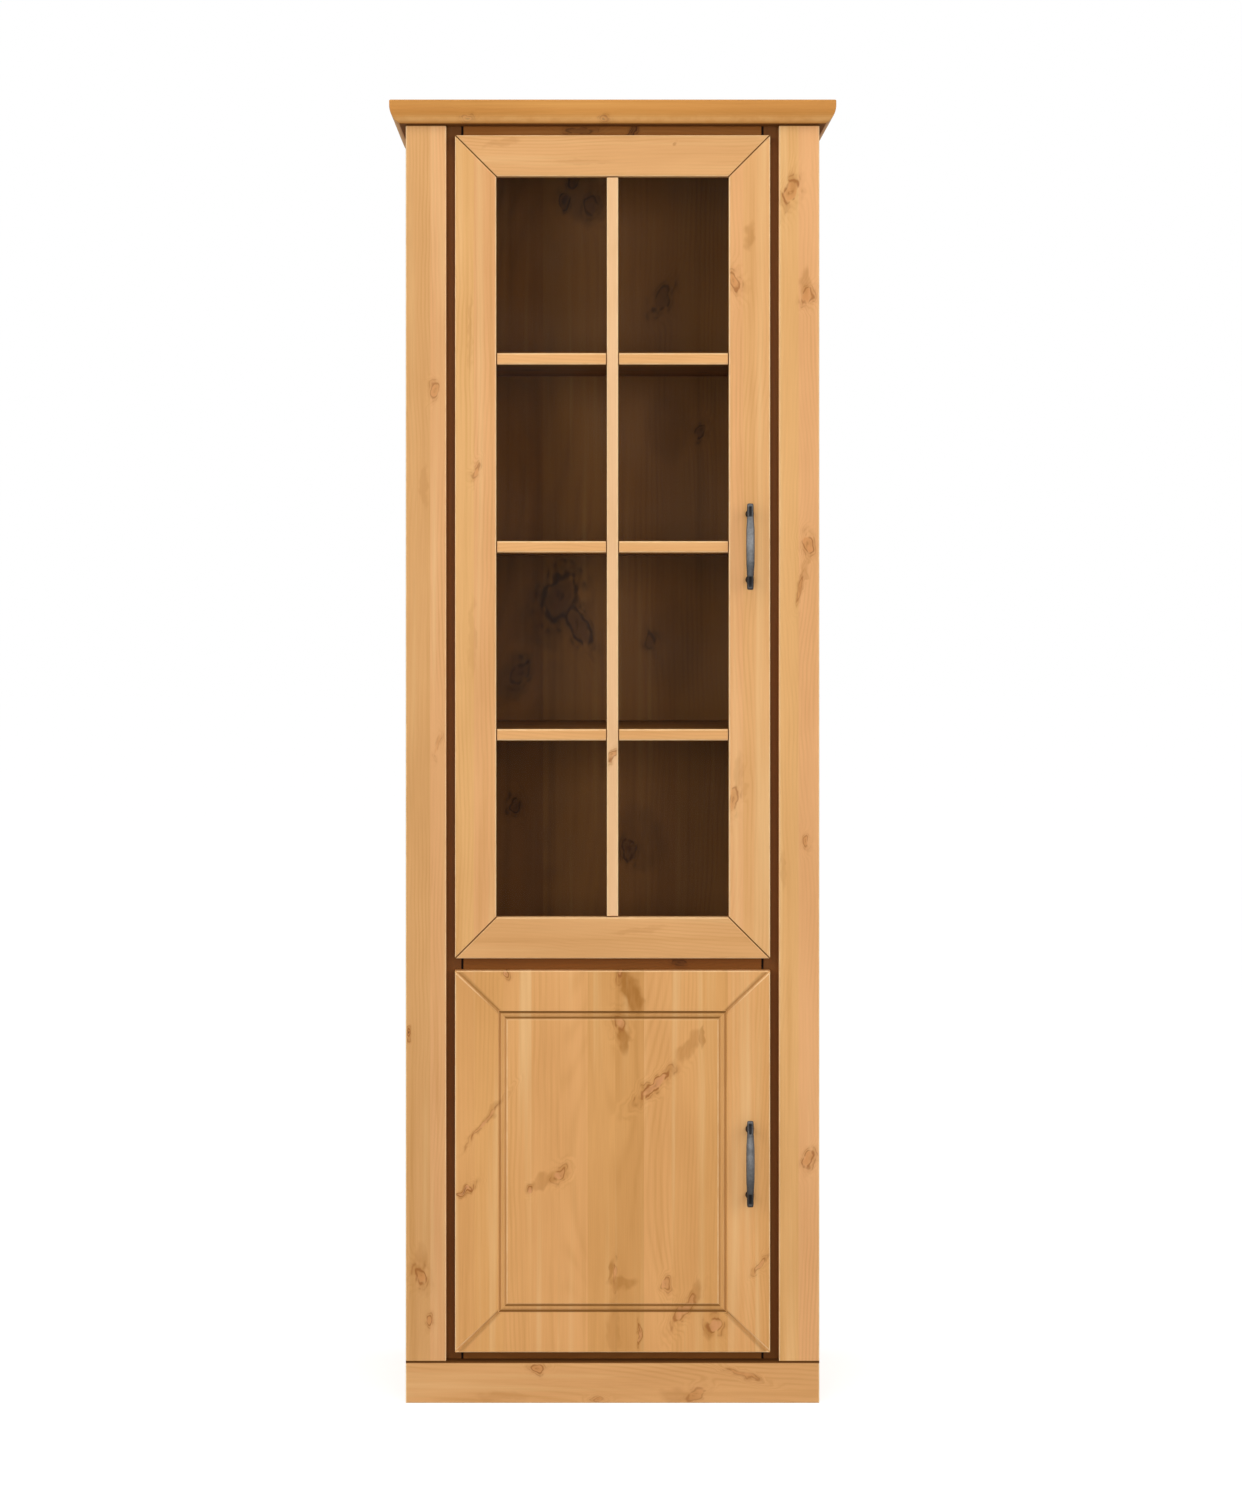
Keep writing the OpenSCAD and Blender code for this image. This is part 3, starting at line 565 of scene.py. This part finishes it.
def profile_at(points, s):
    """Smoothly joined value at s of a list of (position, value)."""
    for (s0, v0), (s1, v1) in zip(points, points[1:]):
        if s <= s1:
            return ease(v0, v1, (s - s0) / (s1 - s0))
    return points[-1][1]


# Half of the grip, from its middle to one end, in millimetres: half width, front surface, half thickness
GRIP_HALF_W = [(0, 6.3), (22, 6.1), (40, 5.2), (44, 4.7), (46, 4.9), (58, 4.9), (61.5, 4.6), (63, 3.4)]
GRIP_FRONT = [(0, 0.0), (20, 0.7), (42, 2.9), (56, 5.2), (60, 5.6), (63, 6.6)]
GRIP_HALF_T = [(0, 3.2), (40, 2.9), (45, 2.6), (58, 2.6), (61.5, 2.3), (63, 1.2)]
GRIP_WEAR = [(0, 1.0), (36, 0.80), (42, 0.62), (45, 0.34), (57, 0.34), (60, 0.62), (63, 0.40)]
# The dark slot in each end of the grip: where it starts and ends, and its depth
SLOT = (44.5, 58.5)
SLOT_DEPTH = 1.3
# Half the slot's width, as the cosine of an angle round the grip
SLOT_HALF = 0.4
# Points round the grip, and steps along it
GRIP_SIDES = 24
GRIP_STEPS = 96
# Outline of its section, as powers of the cosine and sine, and the ridge along its middle: how thin the
# grip is beside it, and how steeply it rises
SIDE_POWER = 0.9
FRONT_POWER = 1.15
SHOULDER = 0.82
RIDGE_POWER = 3
# Painted shade: the lower part of the grip is drawn darker, as light falls from above. How much of its
# brightness it keeps, up to where, and the stretch of the change
LOWER_GRIP_SHADED_TO = 0.60
LOWER_GRIP_SHADE_END = -45
LOWER_GRIP_SHADE_FADE = 60
# A foot, from the door outwards: distance from the door's face and radius. Then the wear at each place,
# the points round the foot, and how far its middle lies from the grip's
FOOT = [(0, 5.9), (0.8, 6.3), (2.2, 6.2), (3.4, 5.0), (6, 4.1), (13, 3.6), (20, 4.2), (22, 4.4), (23, 4.2)]
FOOT_WEAR = [0.25, 0.3, 0.15, 0.03, 0.02, 0.05, 0.03, 0.02, 0.02]
FOOT_SIDES = 32
FOOT_FROM_MIDDLE = 48


def handle(name, node, body, material):
    """Bow handle: a ridged grip with necked ends, and two turned feet."""
    low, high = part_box(node)
    centre_x = (low.x + high.x) / 2
    centre_z = (low.z + high.z) / 2
    front_y = low.y
    door_y = high.y
    bm = bmesh.new()
    wear_layer = bm.verts.layers.float.new("wear_and_light")
    half = (high.z - low.z) / 2 / MM
    sections = []
    wear_and_light = []
    for k in range(GRIP_STEPS + 1):
        s = half * (2.0 * k / GRIP_STEPS - 1.0)
        half_w = profile_at(GRIP_HALF_W, abs(s)) * MM
        half_t = profile_at(GRIP_HALF_T, abs(s)) * MM
        y = front_y + profile_at(GRIP_FRONT, abs(s)) * MM + half_t
        # Wear along the grip, with painted shade on its lower part.
        rubbed_and_lit = profile_at(GRIP_WEAR, abs(s)) * ease(LOWER_GRIP_SHADED_TO, 1.0, (s - LOWER_GRIP_SHADE_END) / LOWER_GRIP_SHADE_FADE)
        ring = []
        values = []
        for i in range(GRIP_SIDES):
            a = 2 * math.pi * i / GRIP_SIDES
            c = math.cos(a)
            n = math.sin(a)
            ridge = SHOULDER + (1 - SHOULDER) * abs(n) ** RIDGE_POWER
            slot = SLOT[0] < abs(s) < SLOT[1] and n < 0 and abs(c) < SLOT_HALF
            sunk = SLOT_DEPTH * MM if slot else 0.0
            x_share = math.copysign(abs(c) ** SIDE_POWER, c)
            y_share = math.copysign(abs(n) ** FRONT_POWER, n) * ridge
            ring.append((centre_x + half_w * x_share, y + half_t * y_share + sunk, centre_z + s * MM))
            values.append(0.0 if slot else rubbed_and_lit)
        sections.append(ring)
        wear_and_light.append(values)
    loft(bm, sections, wear_layer, wear_and_light)
    turns = [2 * math.pi * i / FOOT_SIDES for i in range(FOOT_SIDES)]
    for end in (-1, 1):
        foot_z = centre_z + end * FOOT_FROM_MIDDLE * MM
        sections = [[(centre_x + r * MM * math.cos(a), door_y - d * MM, foot_z + r * MM * math.sin(a))
                     for a in turns] for d, r in FOOT]
        loft(bm, sections, wear_layer, [[value] * FOOT_SIDES for value in FOOT_WEAR])
    bmesh.ops.recalc_face_normals(bm, faces=bm.faces)
    mesh_data = bpy.data.meshes.new(name)
    bm.to_mesh(mesh_data)
    bm.free()
    for face in mesh_data.polygons:
        face.use_smooth = True
    made = new_object(name, mesh_data)
    made.data.materials.append(material)
    smooth = made.modifiers.new("Smooth", "SUBSURF")
    smooth.levels = 1
    smooth.render_levels = 1
    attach(made, body)
    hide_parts(node)


# ---------------------------------------------------------------- materials of the CAD pieces

# Where the joints, grooves and faces lie that the masks below go by, from the CAD pieces' boxes
panel_low, panel_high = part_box("panel_door_board")
upright_low, upright_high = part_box("muntin_vertical")
side_low, side_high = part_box("right_side_panel")
DOOR_HALF = panel_high.x
FACE_Y = panel_low.y
PANEL_MID_Z = (panel_low.z + panel_high.z) / 2
PANEL_HALF_Z = (panel_high.z - panel_low.z) / 2
MUNTIN_HALF = upright_high.x
GLASS_MID_Z = (upright_low.z + upright_high.z) / 2
SIGHT_HALF_Z = (upright_high.z - upright_low.z) / 2
SIGHT_HALF_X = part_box("muntins_top_row")[1].x
STILE_INNER_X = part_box("frame_right_stile")[0].x
CROWN_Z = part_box("crown_front")[0].z
PLINTH_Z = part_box("plinth_board")[1].z
TOP_PANEL_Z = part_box("top_panel")[1].z
# Distances from the panel door's sides and ends to its routed rectangle, and half that rectangle
ROUTED_SIDE = 0.0635
ROUTED_END = 0.0585
ROUTED_HALF_X = DOOR_HALF - ROUTED_SIDE
ROUTED_HALF_Z = PANEL_HALF_Z - ROUTED_END

# Darkening along a joint: half its width, and how far it fades out beyond that. At the mitres, muntins
# and frame it is stain. At the posts' tops and feet it is the joint line with painted shade under the
# crown and on the plinth's top edge
MITRE_STAIN = (0.0008, 0.0012)
MUNTIN_STAIN = (0.0010, 0.0010)
FRAME_STAIN = (0.0012, 0.0010)
POST_TOP_JOINT_SHADE = (0.0018, 0.0012)
POST_FOOT_JOINT_SHADE = (0.0010, 0.0014)
MITRE_DARK = 0.85
# Painted shadow along the joint above the crown's foot: where it starts to fade, where it ends, how dark it
# is
CROWN_FOOT_SHADE = (0.0002, 0.0014, 0.85)
# Two steps of depth in the routed lines, and the darkening that each adds: stain, with painted shade that
# deepens with depth. Upright lines get less of it, since with light from above the level lines are the
# shaded ones.
ROUTED_STEPS = ((0.0001, 0.0007, 0.30), (0.0010, 0.0019, 0.62))
UPRIGHT_SHARE = 0.38
# Stain and painted shade along the corner grooves: where it starts to fade from their middle, where it ends,
# how dark it is
CORNER_STAIN_AND_SHADE = (0.0010, 0.0075, 0.42)
# The corner grooves start this far outside the rectangle
CORNER_START = 0.0005
# The grooves' stain and painted shade end at the chamfer of the door's edge, and at this depth behind the
# door's face
GROOVE_DARKENING_INSETS = (0.0026, 0.0016)
GROOVE_REACH = 0.006
# How far a mask's plane lies from the face that it has to miss or take in
FACE_MARGIN = 0.0005
SIDE_MARGIN = 0.0015


def part_y(g):
    return g.split(g.position)[1]


def mirrored_x(g):
    return g.absolute(g.split(g.position)[0])


def height_z(g):
    return g.split(g.position)[2]


def from_level(g, middle_z):
    """Distance up or down from a height."""
    return g.absolute(g.minus(height_z(g), middle_z))


def mitre_pool(g):
    """Stain along the glass door's mitres."""
    out_x = g.minus(mirrored_x(g), SIGHT_HALF_X)
    out_z = g.minus(from_level(g, GLASS_MID_Z), SIGHT_HALF_Z)
    return g.times(g.near(g.minus(out_x, out_z), 0.0, *MITRE_STAIN), MITRE_DARK)


def groove_stain_and_shade(g):
    """Stain and painted shade in the panel door's grooves: dark in the routed lines' depths, soft along the
    corner grooves.
    """
    depth = g.minus(part_y(g), FACE_Y)
    x = mirrored_x(g)
    up = from_level(g, PANEL_MID_Z)
    out_x = g.minus(x, ROUTED_HALF_X)
    out_z = g.minus(up, ROUTED_HALF_Z)
    level = g.math("GREATER_THAN", out_z, out_x)
    corner = g.math("GREATER_THAN", g.math("MAXIMUM", out_x, out_z), CORNER_START)
    # Deeper is darker: stain with painted shade.
    lines = g.plus(*(g.remap(depth, start, end, 0.0, dark) for start, end, dark in ROUTED_STEPS))
    lines = g.times(lines, g.times_plus(level, 1.0 - UPRIGHT_SHARE, UPRIGHT_SHARE))
    fade_start, fade_end, corner_dark = CORNER_STAIN_AND_SHADE
    slant = g.remap(g.absolute(g.minus(out_x, out_z)), fade_start, fade_end, corner_dark, 0.0)
    dark_mask = g.plus(g.times(slant, corner), g.times(lines, g.minus(1.0, corner)))
    for off, edge in ((x, DOOR_HALF), (up, PANEL_HALF_Z)):
        start, end = (edge - inset for inset in GROOVE_DARKENING_INSETS)
        dark_mask = g.times(dark_mask, g.remap(off, start, end, 1.0, 0.0))
    return g.times(dark_mask, g.math("LESS_THAN", depth, GROOVE_REACH))


def muntin_pool(g):
    """Stain where the rows of muntins meet the upright and the door's frame."""
    x = mirrored_x(g)
    return g.math("MAXIMUM", *(g.near(x, end, *MUNTIN_STAIN) for end in (MUNTIN_HALF, SIGHT_HALF_X)))


def muntin_end_pool(g):
    """Stain where the upright muntin meets the door's frame."""
    return g.near(from_level(g, GLASS_MID_Z), SIGHT_HALF_Z, *MUNTIN_STAIN)


def post_joint_shadow(g):
    """Joint lines at the posts' tops and feet, with painted shadow under the crown and painted shade on the
    plinth's top edge below the doors.
    """
    z = height_z(g)
    return g.math("MAXIMUM", g.near(z, CROWN_Z, *POST_TOP_JOINT_SHADE), g.near(z, PLINTH_Z, *POST_FOOT_JOINT_SHADE))


def crown_foot_shadow(g):
    """Painted shadow and joint line along the crown's foot."""
    fade_start, fade_end, dark = CROWN_FOOT_SHADE
    return g.remap(height_z(g), CROWN_Z + fade_start, CROWN_Z + fade_end, dark, 0.0)


def frame_pool(g):
    """Stain in the joints between the face frame's rails and stiles."""
    return g.near(mirrored_x(g), STILE_INNER_X, *FRAME_STAIN)


def inner_side(g):
    """The side panels' inner faces."""
    return g.math("LESS_THAN", mirrored_x(g), side_low.x + SIDE_MARGIN)


def below_top(g):
    """All of the top panel but its upper face."""
    return g.math("LESS_THAN", height_z(g), TOP_PANEL_Z - FACE_MARGIN)


def frame_faces(g):
    """All of the face frame but its outer edges, which lie flush with the case's sides."""
    return g.math("LESS_THAN", mirrored_x(g), side_high.x - FACE_MARGIN)


# Knots are (across, along, half width, half length, lean, darkness)
DRESS = {
    "crown_front": wood("pine_crown_front", CROWN_SHADED_HONEY, ALONG_X, 11, [
        (1.874, -0.212, 0.004, 0.006, 0, 1.0), (1.871, -0.010, 0.004, 0.007, 0, 1.0)], darkening=crown_foot_shadow),
    "crown_left": wood("pine_crown_left", CROWN_SHADED_HONEY, ALONG_Y, 12, darkening=crown_foot_shadow),
    "crown_right": wood("pine_crown_right", CROWN_SHADED_HONEY, ALONG_Y, 13, darkening=crown_foot_shadow),
    "left_post": wood("pine_left_post", HONEY, ALONG_Z, 21, [
        (-0.260, 1.478, 0.005, 0.009, 20, 0.60), (-0.298, 0.542, 0.003, 0.007, 0, 1.0),
        (-0.280, 0.186, 0.008, 0.014, -15, 0.75), (-0.267, 0.118, 0.004, 0.010, 0, 0.80),
        (-0.255, 0.960, 0.003, 0.014, 10, 0.35)],
        [(-0.275, 1.340, 0.006, 0.040, 0, 0.25), (-0.280, 0.205, 0.010, 0.030, 0, 0.30)],
        [(-0.310, 0.38, 0.35), (-0.266, 0.62, 0.80)], tone=0.95, darkening=post_joint_shadow),
    "right_post": wood("pine_right_post", HONEY, ALONG_Z, 22, [
        (0.259, 1.768, 0.009, 0.018, 20, 0.80), (0.284, 1.615, 0.007, 0.010, 30, 0.65),
        (0.286, 1.254, 0.007, 0.012, -25, 0.75), (0.272, 1.188, 0.003, 0.018, 15, 0.60),
        (0.283, 0.821, 0.004, 0.009, 0, 0.60), (0.286, 0.354, 0.006, 0.011, 25, 0.75)],
        [(0.281, 1.632, 0.008, 0.030, 0, 0.45), (0.262, 1.785, 0.008, 0.020, 0, 0.20),
         (0.280, 1.215, 0.007, 0.040, 10, 0.30), (0.250, 0.780, 0.005, 0.030, 0, 0.25)],
        [(0.240, 0.62, 0.10), (0.2715, 0.60, 0.90)], darkening=post_joint_shadow),
    "plinth_board": wood("pine_plinth", HONEY, ALONG_X, 23, [
        (0.050, -0.110, 0.006, 0.010, -40, 0.75), (0.041, 0.190, 0.003, 0.022, -20, 0.50),
        (0.012, 0.120, 0.006, 0.014, 30, 0.45), (0.005, -0.020, 0.003, 0.010, 0, 0.45)],
        [(0.010, 0.095, 0.012, 0.030, 0, 0.30), (0.010, -0.160, 0.008, 0.040, 0, 0.20)], darkening=post_joint_shadow),
    "glass_door_left_stile": wood("pine_door_left_stile", HONEY, ALONG_Z, 31, [
        (-0.200, 1.361, 0.004, 0.010, 20, 0.50)],
        [(-0.208, 1.560, 0.004, 0.060, 0, 0.20), (-0.205, 1.120, 0.006, 0.060, 0, 0.20)],
        [(-0.240, 0.66, 0.05), (-0.2027, 0.50, 0.75)], darkening=mitre_pool),
    "glass_door_right_stile": wood("pine_door_right_stile", HONEY, ALONG_Z, 32, [
        (0.178, 1.637, 0.007, 0.013, -15, 0.70), (0.177, 0.880, 0.006, 0.018, 15, 0.60)],
        [(0.200, 1.704, 0.009, 0.022, 0, 0.45), (0.185, 0.920, 0.008, 0.030, 0, 0.25)],
        [(0.160, 0.60, 0.80), (0.1906, 0.55, 0.40)], darkening=mitre_pool),
    "glass_door_top_rail": wood("pine_door_top_rail", HONEY, ALONG_X, 33, [
        (1.838, 0.090, 0.002, 0.002, 0, 0.50)],
        [(1.840, -0.160, 0.006, 0.030, 10, 0.25), (1.812, -0.040, 0.004, 0.050, 0, 0.15)],
        tone=0.95, darkening=mitre_pool),
    "glass_door_bottom_rail": wood("pine_door_bottom_rail", HONEY, ALONG_X, 34, shades=[
        (0.690, 0.040, 0.005, 0.040, 5, 0.20)], tone=0.97, darkening=mitre_pool),
    "muntin_vertical": wood("pine_muntin_vertical", PALE_HONEY, ALONG_Z, 41, [
        (0.000, 0.945, 0.004, 0.012, 35, 0.8)], darkening=muntin_end_pool),
    "muntins_top_row": wood("pine_muntins_top", HONEY, ALONG_X, 42, tone=1.06, darkening=muntin_pool),
    "muntins_middle_row": wood("pine_muntins_middle", HONEY, ALONG_X, 43, tone=1.06, darkening=muntin_pool),
    "muntins_bottom_row": wood("pine_muntins_bottom", HONEY, ALONG_X, 44, tone=1.06, darkening=muntin_pool),
    "glass_beads": wood("pine_glass_beads", HONEY, ALONG_Z, 45),
    "panel_door_board": wood("pine_panel_door", PANEL_HONEY, ALONG_Z, 51, [
        (0.013, 0.628, 0.004, 0.010, 30, 0.80), (0.010, 0.553, 0.007, 0.012, -10, 0.65),
        (0.062, 0.464, 0.006, 0.026, 48, 0.85), (-0.078, 0.334, 0.006, 0.011, 40, 0.70),
        (-0.119, 0.312, 0.003, 0.006, 0, 0.80), (-0.186, 0.410, 0.0025, 0.030, 38, 0.60),
        (-0.216, 0.308, 0.003, 0.013, 55, 0.90), (-0.154, 0.629, 0.005, 0.006, 0, 0.85),
        (0.078, 0.172, 0.005, 0.008, 0, 0.60), (0.106, 0.138, 0.006, 0.024, 38, 0.65),
        (0.150, 0.114, 0.010, 0.011, -35, 0.75), (0.039, 0.103, 0.002, 0.014, 0, 0.80),
        (0.215, 0.202, 0.004, 0.012, 40, 0.60), (0.003, 0.190, 0.002, 0.016, 0, 0.60)],
        [(0.026, 0.602, 0.015, 0.040, -20, 1.0), (0.016, 0.532, 0.009, 0.028, -8, 0.80),
         (0.112, 0.522, 0.012, 0.032, 38, 0.42), (0.131, 0.535, 0.004, 0.020, 0, 0.55),
         (-0.102, 0.324, 0.010, 0.028, 62, 0.40), (0.014, 0.176, 0.026, 0.010, 0, 0.50),
         (-0.004, 0.192, 0.004, 0.020, 12, 0.70), (0.120, 0.160, 0.010, 0.020, 20, 0.40),
         (-0.176, 0.425, 0.006, 0.028, 38, 0.30),
         (0.002, 0.105, 0.010, 0.060, 0, 0.30), (0.140, 0.105, 0.010, 0.012, 0, 0.35)],
        [(-0.240, 0.42, 0.40), (-0.201, 0.50, 0.20), (-0.160, 0.56, 0.45), (-0.119, 0.50, 0.55),
         (-0.078, 0.60, 0.60), (-0.0373, 0.24, 0.20), (0.0035, 0.06, 0.15), (0.0443, 0.54, 0.55),
         (0.0851, 0.36, 0.40), (0.1259, 0.36, 0.20), (0.1667, 0.56, 0.60), (0.2075, 0.46, 0.40)],
        darkening=groove_stain_and_shade),
}

SIDE = wood("pine_side_panels", HONEY, ALONG_Z_SIDE, 61, [
    (-0.02, 1.42, 0.008, 0.014, 20, 0.8), (0.11, 0.95, 0.006, 0.012, -10, 0.7),
    (0.03, 0.48, 0.009, 0.018, 15, 0.8), (0.15, 1.70, 0.005, 0.010, 0, 0.7),
    (-0.08, 0.22, 0.006, 0.016, -30, 0.7), (-0.10, 1.10, 0.004, 0.020, 30, 0.5),
    (0.06, 1.62, 0.006, 0.030, 40, 0.5), (0.13, 0.26, 0.004, 0.008, 0, 0.9)],
    [(-0.03, 1.36, 0.012, 0.060, 0, 0.35), (0.10, 0.90, 0.010, 0.050, 0, 0.30)],
    stave=0.045, inside=(inner_side, BROWN))
FRAME_Z = wood("brown_frame_stiles", HONEY, ALONG_Z, 71, darkening=frame_pool, inside=(frame_faces, STILE_SHADED_BROWN))
FRAME_X = wood("brown_frame_rails", GAP_BROWN, ALONG_X, 72, [
    (0.640, 0.10, 0.004, 0.014, 0, 0.6)], tone=1.06, darkening=frame_pool)
# The top rail, seen in the gap above the glass door, gets a brighter tone: painted light.
FRAME_TOP_BRIGHTENED = wood("brown_frame_top_rail", GAP_BROWN, ALONG_X, 77, [
    (1.858, 0.03, 0.004, 0.020, 60, 0.8), (1.860, -0.05, 0.005, 0.016, 0, 0.5)],
    tone=1.38, darkening=frame_pool)
CASE = wood("brown_case_boards", BROWN, ALONG_X_FLAT, 73, [
    (0.02, -0.12, 0.007, 0.012, 0, 0.9), (0.08, 0.14, 0.006, 0.010, 30, 0.8)], stave=0.060)
TOP = wood("pine_top_panel", HONEY, ALONG_X_FLAT, 76, [
    (0.05, -0.15, 0.008, 0.016, 20, 0.8), (-0.07, 0.11, 0.006, 0.012, -20, 0.7),
    (0.12, 0.20, 0.005, 0.020, 30, 0.5)], stave=0.045, inside=(below_top, BROWN))
BACK = wood("brown_back_panels", BROWN, ALONG_Z, 74, [
    (-0.079, 1.175, 0.024, 0.036, 25, 0.8), (-0.050, 1.130, 0.014, 0.030, -30, 0.6),
    (-0.140, 1.055, 0.012, 0.020, 30, 0.6), (-0.071, 1.793, 0.008, 0.012, 0, 0.9),
    (-0.030, 1.785, 0.010, 0.014, 0, 0.7), (-0.055, 1.830, 0.008, 0.018, 20, 0.6),
    (0.062, 1.106, 0.008, 0.012, 0, 0.6), (0.140, 1.434, 0.007, 0.010, 20, 0.8),
    (-0.150, 0.850, 0.008, 0.012, 0, 0.8), (0.080, 1.640, 0.010, 0.022, 30, 0.6),
    (0.030, 0.780, 0.010, 0.016, 0, 0.7), (0.100, 0.330, 0.010, 0.014, 0, 0.9)],
    [(-0.110, 1.140, 0.050, 0.060, 20, 0.35), (-0.150, 1.050, 0.030, 0.050, 25, 0.40),
     (0.090, 1.440, 0.040, 0.060, 0, 0.25), (-0.040, 1.800, 0.040, 0.050, 0, 0.35),
     (0.050, 0.800, 0.040, 0.060, -20, 0.30), (0.100, 1.100, 0.050, 0.090, 0, 0.20)],
    stave=0.105, figure=1.3)
BEECH = wood("beech_dowels", PALE_HONEY, ALONG_X, 75, figure=0.4)
NICKEL = metal("nickel_plate", (0.62, 0.60, 0.56), 0.26)
STEEL = metal("zinc_screws", (0.50, 0.49, 0.47), 0.33)
ZINC = metal("zinc_sheet", (0.54, 0.55, 0.56), 0.40, 90.0, 0.35)
GLASS = glass()
PLASTIC = plastic()

for material, names in (
    (SIDE, ("left_side_panel", "right_side_panel")),
    (FRAME_Z, ("frame_left_stile", "frame_right_stile")),
    (FRAME_TOP_BRIGHTENED, ("frame_top_rail",)),
    (FRAME_X, ("frame_middle_rail", "frame_bottom_rail")),
    (CASE, ("divider_panel", "bottom_panel", "rear_plinth_rail", "lower_shelf",
            "upper_shelf_bottom", "upper_shelf_middle", "upper_shelf_top")),
    (TOP, ("top_panel",)),
    (BACK, ("upper_back_panel", "lower_back_panel")),
    (BEECH, ("carcass_dowels",)),
    (NICKEL, ("glass_door_hinge_arms", "panel_door_hinge_arms", "glass_door_hinge_cups",
              "panel_door_hinge_cups", "shelf_pins", "bracket_screws")),
    (STEEL, ("back_nails", "hinge_plate_screws", "glass_door_cup_screws", "panel_door_cup_screws",
             "glass_door_handle_screws", "panel_door_handle_screws", "glass_door_hinge_links",
             "panel_door_hinge_links")),
    (ZINC, ("wall_brackets",)),
    (PLASTIC, ("glass_door_bumpers", "panel_door_bumpers")),
    (GLASS, ("glass_pane",)),
):
    DRESS.update(dict.fromkeys(names, material))

PEWTER = pewter()
HANDLES = {"glass_door_handle": "glass_door", "panel_door_handle": "panel_door"}
for node, body in HANDLES.items():
    handle("bow_" + node, node, body, PEWTER)

# Rounded edges: their width in millimetres on wood and on the rest, and the pieces whose edges stay
# sharp: the pane, and two boards that meet where light would leak in
WOOD_EDGE = 0.5
METAL_EDGE = 0.2
SHARP = ("glass_pane", "plinth_board", "frame_bottom_rail")
# Points closer than this are joined, and so are faces that are flat to one another within this many
# degrees. Corners that turn by more than the last angle are rounded.
WELD_DISTANCE = 0.00001
FLAT_ANGLE = 1
CORNER_ANGLE = 35
for name, node in nodes.items():
    if name in HANDLES:
        continue
    node.data.materials.clear()
    node.data.materials.append(DRESS[name])
    weld = node.modifiers.new("Weld", "WELD")
    weld.merge_threshold = WELD_DISTANCE
    if name in SHARP:
        continue
    flats = node.modifiers.new("Flats", "DECIMATE")
    flats.decimate_type = "DISSOLVE"
    flats.angle_limit = math.radians(FLAT_ANGLE)
    edge = node.modifiers.new("Edge", "BEVEL")
    edge.width = (METAL_EDGE if DRESS[name] in (NICKEL, STEEL, ZINC, PLASTIC) else WOOD_EDGE) * MM
    edge.segments = 2
    edge.limit_method = "ANGLE"
    edge.angle_limit = math.radians(CORNER_ANGLE)

# ---------------------------------------------------------------- stage: camera, light and floor

CAMERA_HEIGHT = 1.208
CAMERA_X = -0.049
CAMERA_DISTANCE = 5.2
camera_data = bpy.data.cameras.new("camera")
camera_data.lens = 85.5
camera_data.sensor_width = 36
camera_data.shift_x = 0.028
camera_data.shift_y = -0.1163
camera = new_object("camera", camera_data)
post_front_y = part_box("left_post")[0].y
camera.location = (CAMERA_X, post_front_y - CAMERA_DISTANCE, CAMERA_HEIGHT)
camera.rotation_euler = (math.radians(90), 0, 0)
bpy.context.scene.camera = camera
bpy.context.scene.view_settings.view_transform = "Standard"
bpy.context.scene.view_settings.look = "None"


def floor():
    """Pale floor. The camera sees it brighter than it lights the object."""
    half = 30.0
    mesh_data = bpy.data.meshes.new("floor")
    corners = [(-half, -half, 0), (half, -half, 0), (half, half, 0), (-half, half, 0)]
    mesh_data.from_pydata(corners, [], [(0, 1, 2, 3)])
    made = new_object("floor", mesh_data)
    g = Graph("pale_floor")
    g.shader.inputs["Base Color"].default_value = (0.62, 0.62, 0.62, 1.0)
    g.shader.inputs["Roughness"].default_value = 0.9
    g.shader.inputs["Specular IOR Level"].default_value = 0.0
    g.shader.inputs["Emission Color"].default_value = (1.0, 1.0, 1.0, 1.0)
    rays = g.add("ShaderNodeLightPath")
    g.feed(g.shader.inputs["Emission Strength"], g.times(rays.outputs["Is Camera Ray"], 0.66))
    made.data.materials.append(g.material)


def softbox(name, at, aim, size, power):
    """Rectangular light that faces a point."""
    light = bpy.data.lights.new(name, "AREA")
    light.shape = "RECTANGLE"
    light.size, light.size_y = size
    light.energy = power
    made = new_object(name, light)
    made.location = at
    made.rotation_euler = (Vector(aim) - Vector(at)).to_track_quat("-Z", "Y").to_euler()


def sky(strength):
    """White surroundings that light the object less than they show behind it."""
    world = bpy.data.worlds.new("studio")
    bpy.context.scene.world = world
    world.use_nodes = True
    tree = world.node_tree
    seen = tree.nodes["Background"]
    seen.inputs["Color"].default_value = (1.0, 1.0, 1.0, 1.0)
    seen.inputs["Strength"].default_value = 1.0
    lighting = tree.nodes.new("ShaderNodeBackground")
    lighting.inputs["Color"].default_value = (1.0, 1.0, 1.0, 1.0)
    lighting.inputs["Strength"].default_value = strength
    rays = tree.nodes.new("ShaderNodeLightPath")
    both = tree.nodes.new("ShaderNodeMixShader")
    tree.links.new(rays.outputs["Is Camera Ray"], both.inputs[0])
    tree.links.new(lighting.outputs[0], both.inputs[1])
    tree.links.new(seen.outputs[0], both.inputs[2])
    tree.links.new(both.outputs[0], tree.nodes["World Output"].inputs[0])


floor()
sky(0.55)
softbox("left_softbox", (-2.8, -2.9, 2.2), (0, 0, 1.3), (1.2, 2.0), 28)
softbox("right_softbox", (2.8, -2.9, 2.2), (0, 0, 1.3), (1.2, 2.0), 28)
softbox("top_softbox", (0.0, -2.0, 3.6), (0, 0, 0.9), (2.0, 1.0), 14)
softbox("front_left_softbox", (-1.4, -6.0, 1.5), (0, 0, 1.2), (1.3, 1.8), 38)
softbox("front_right_softbox", (1.4, -6.0, 1.5), (0, 0, 1.2), (1.3, 1.8), 38)
